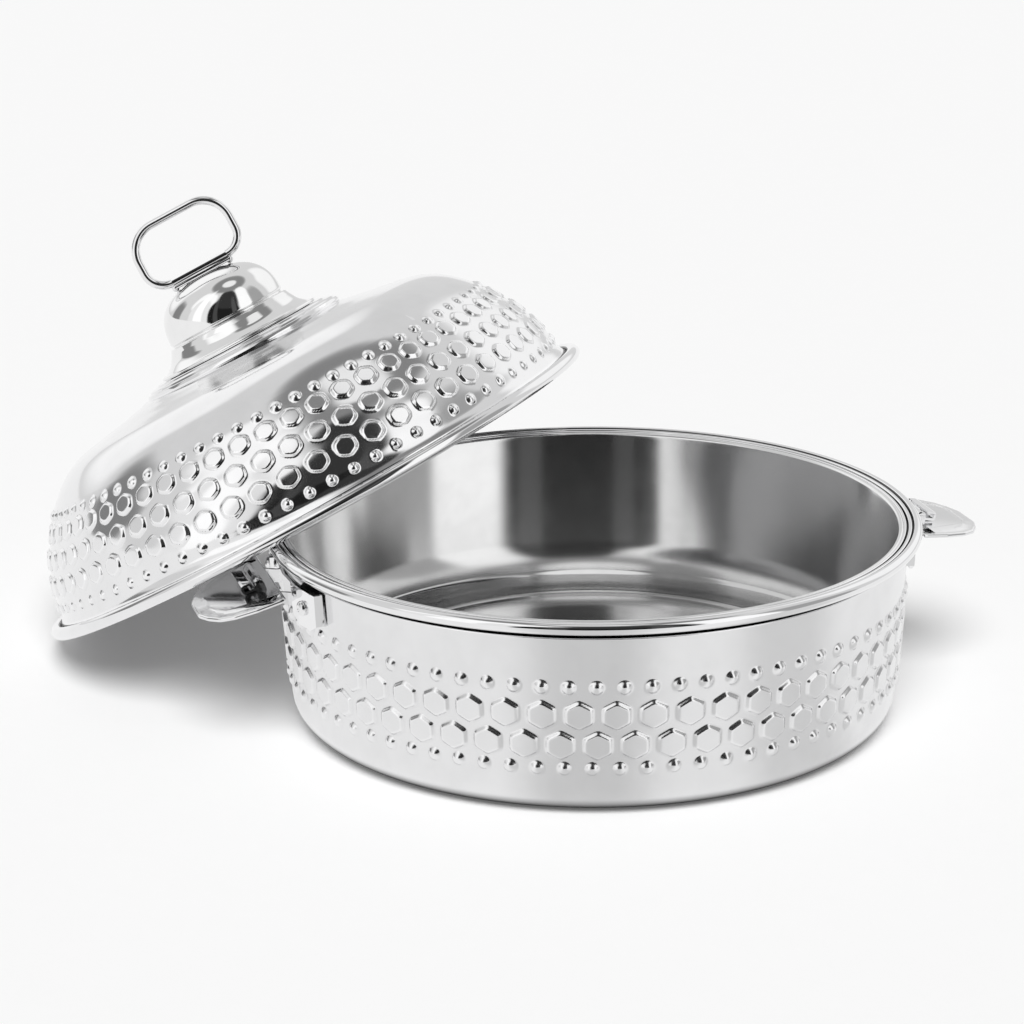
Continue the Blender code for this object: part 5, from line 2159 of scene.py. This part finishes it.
@dataclass(frozen=True)
class Studio:
    """Camera, pale floor, one soft lamp and the surroundings that the steel mirrors.

    Attributes:
        eye: Place of the camera.
        yaw: How far it is turned to the right.
        pitch: How far it looks down.
        roll: How far it is tipped.
        lens: Focal length in millimetres.
        sensor: Width of the sensor in millimetres.
        white: Brightness of the background and the floor.
        fill: Brightness of the light from all round on the floor.
        floor_radius: Radius of the floor.
        floor_colours: Darkest and lightest grey of the floor.
        floor_grain: Cells per metre and detail of its grain.
        floor_roughness: Its roughness.
        floor_glow: Share of plain white in the floor, to the camera.
        floor_mirrored: Share of the floor's painted brightness, in the steel.
        under_pot_shadow: Radii between which the painted shadow under the pot fades from dark to
            light, in the steel.
        shade_start: Distance in front of the pot's axis from which the shades spread.
        shades: First and last azimuth, softness and depth of each grey sector of painted shade on
            the floor.
        sun_strength: Strength of the lamp.
        sun_spread: Angle that the lamp covers.
        sun_way: Direction in which it shines.
        plain: Brightness in the steel between the fields.
        boxes: The fields, of which a later one covers the earlier ones.
    """

    eye: Triple = (0.0, -1.3950, 0.5343)
    yaw: float = -0.0264
    pitch: float = 0.3066
    roll: float = -0.0085
    lens: float = 112.5
    sensor: float = 36.0
    white: float = 0.955
    fill: float = 0.24
    floor_radius: float = 14.0
    floor_colours: Pair = (0.955, 0.965)
    floor_grain: Pair = (60.0, 3.0)
    floor_roughness: float = 0.85
    floor_glow: float = 0.10
    floor_mirrored: float = 0.80
    under_pot_shadow: Pair = (0.131, 0.142)
    shade_start: float = 0.06
    shades: tuple[tuple[float, float, float, float], ...] = (
        (-21.0, 18.0, 12.0, 0.34),
        (52.0, 84.0, 10.0, 0.28),
    )
    sun_strength: float = 3.05
    sun_spread: float = math.radians(34)
    sun_way: Triple = (-0.04, 0.85, -1.0)
    plain: float = 0.74
    boxes: tuple[Softbox, ...] = (
        Softbox((-230.0, 230.0), (66.0, 90.0), 0.26, 0.3),
        Softbox((-230.0, 230.0), (80.0, 100.0), 0.95, 0.2),
        Softbox((-74.0, -20.0), (20.0, 60.0), 1.12, 0.16),
        Softbox((-68.0, -26.0), (-34.0, 44.0), 0.90, 0.10),
        Softbox((-56.0, -40.0), (-34.0, 60.0), 1.18, 0.3),
        Softbox((-166.0, -122.0), (4.0, 44.0), 1.05, 0.2),
        Softbox((38.0, 72.0), (20.0, 66.0), 1.12, 0.16),
        Softbox((38.0, 67.0), (-34.0, 44.0), 1.14, 0.12),
        Softbox((67.0, 98.0), (-20.0, 50.0), 0.40, 0.2),
        Softbox((118.0, 168.0), (8.0, 46.0), 1.05, 0.2),
        Softbox((-114.0, -92.0), (-14.0, 24.0), 0.25, 0.3),
        Softbox((-27.0, 36.0), (-50.0, 44.0), 0.015, 0.06),
        Softbox((-12.0, 36.0), (26.0, 66.0), 0.04, 0.14),
        Softbox((-16.0, -9.0), (-30.0, 40.0), 0.07, 0.4),
        Softbox((21.0, 29.0), (-30.0, 40.0), 0.09, 0.4),
    )

    def aim_camera(self) -> None:
        """Place the camera as the photograph was taken."""
        lens = bpy.data.cameras.new("view")
        lens.sensor_width = self.sensor
        lens.lens = self.lens
        camera = link("view", lens)
        ahead = Vector((
            math.sin(self.yaw) * math.cos(self.pitch),
            math.cos(self.yaw) * math.cos(self.pitch),
            -math.sin(self.pitch),
        ))
        right = Vector((math.cos(self.yaw), -math.sin(self.yaw), 0.0))
        over = right.cross(ahead)
        right_rolled = math.cos(self.roll) * right + math.sin(self.roll) * over
        over_rolled = -math.sin(self.roll) * right + math.cos(self.roll) * over
        turn = Matrix((right_rolled, over_rolled, -ahead)).transposed().to_4x4()
        camera.matrix_world = Matrix.Translation(self.eye) @ turn
        bpy.context.scene.camera = camera

    def reflected_floor(self, graph: Graph, place: Signal) -> Signal:
        """Return the floor's brightness in the steel.

        It is dark under the pot from a painted shadow, and greyer from painted shade in the
        sectors that the studio keeps light off.

        Args:
            graph: The floor's nodes.
            place: Position on the floor.

        Returns:
            The brightness.
        """
        x, y, _ = graph.parts(place)
        away = (x * x + y * y) ** 0.5
        turn = x.math("ARCTAN2", -y - self.shade_start) * DEGREES
        lit: Any = 1.0
        for start, end, soft, depth in self.shades:
            lit = lit - turn.between(start, end, soft) * depth
        # Painted shadow under the pot and painted shade in the grey sectors.
        return away.step(*self.under_pot_shadow) * lit * self.white

    def lay_floor(self) -> None:
        """Lay the pale floor."""
        bm = bmesh.new()
        bmesh.ops.create_circle(bm, cap_ends=True, segments=96, radius=self.floor_radius)
        mesh = bpy.data.meshes.new("floor")
        bm.to_mesh(mesh)
        bm.free()
        floor = link("floor", mesh)
        paint, graph = new_paint("pale_floor")
        place = graph.place_in(Matrix.Identity(4))
        grain = graph.noise(place, *self.floor_grain)
        colour = graph.mix(grain, *(opaque((grey,) * 3) for grey in self.floor_colours))
        values = {"Base Color": colour, "Roughness": self.floor_roughness}
        shader = graph.node("ShaderNodeBsdfPrincipled", {}, {**values, "Specular IOR Level": 0.0})
        seen, glossy, through = graph.rays("Is Camera Ray", "Is Glossy Ray", "Is Transmission Ray")
        share = (seen * self.floor_glow + (glossy + through) * self.floor_mirrored).clamped()
        white = seen * self.white + (1.0 - seen) * self.reflected_floor(graph, place)
        glow = graph.node("ShaderNodeEmission", {}, {"Color": white, "Strength": 1.0})
        shaders = {1: shader.outputs[0], 2: glow.outputs[0]}
        show(graph, graph.node("ShaderNodeMixShader", {}, {0: share, **shaders}))
        mesh.materials.append(paint)

    def surround(self) -> None:
        """Fill the world: white to the camera, plain to the floor, a studio in the steel."""
        world = bpy.data.worlds.new("studio")
        bpy.context.scene.world = world
        world.use_nodes = True
        graph = Graph(world.node_tree)
        towards = graph.signal("ShaderNodeTexCoord", {}, {}, "Generated")
        x, y, z = graph.parts(towards)
        turn = x.math("ARCTAN2", -y) * DEGREES
        rise = z.math("ARCSINE") * DEGREES
        level: Any = self.plain
        for box in self.boxes:
            mask = box.mask(turn, rise)
            level = mask * box.level + (1.0 - mask) * level
        seen, mirrored = graph.rays("Is Camera Ray", "Is Glossy Ray")
        unseen = mirrored * level + (1.0 - mirrored) * self.fill
        white = seen * self.white + (1.0 - seen) * unseen
        light = graph.node("ShaderNodeBackground", {}, {"Color": white, "Strength": 1.0})
        graph.node("ShaderNodeOutputWorld", {}, {"Surface": light.outputs[0]})

    def hang_lamp(self) -> None:
        """Hang one broad soft lamp over the camera, for the floor's shadow."""
        light = bpy.data.lights.new("overhead", "SUN")
        light.energy = self.sun_strength
        light.angle = self.sun_spread
        lamp = link("overhead", light)
        lamp.rotation_euler = Vector(self.sun_way).to_track_quat("-Z", "Y").to_euler()
        lamp.visible_glossy = False

    def build(self) -> None:
        """Set the stage."""
        bpy.context.scene.view_settings.view_transform = "Standard"
        self.aim_camera()
        self.lay_floor()
        self.surround()
        self.hang_lamp()


def main() -> None:
    """Build the studio and dress every sub-assembly."""
    logging.basicConfig(level=logging.INFO, format="%(name)s: %(message)s")
    Studio().build()
    PotWall().build()
    PotRim().build()
    Pan().build()
    Lid().build()
    Knob().build()
    RingHandle().build()
    Clasp(Side.RIGHT, azimuth=math.radians(17.6), droop=math.radians(7.0)).build()
    Clasp(Side.LEFT, azimuth=math.radians(197.6), droop=math.radians(19.12)).build()


if __name__ == "__main__":
    main()
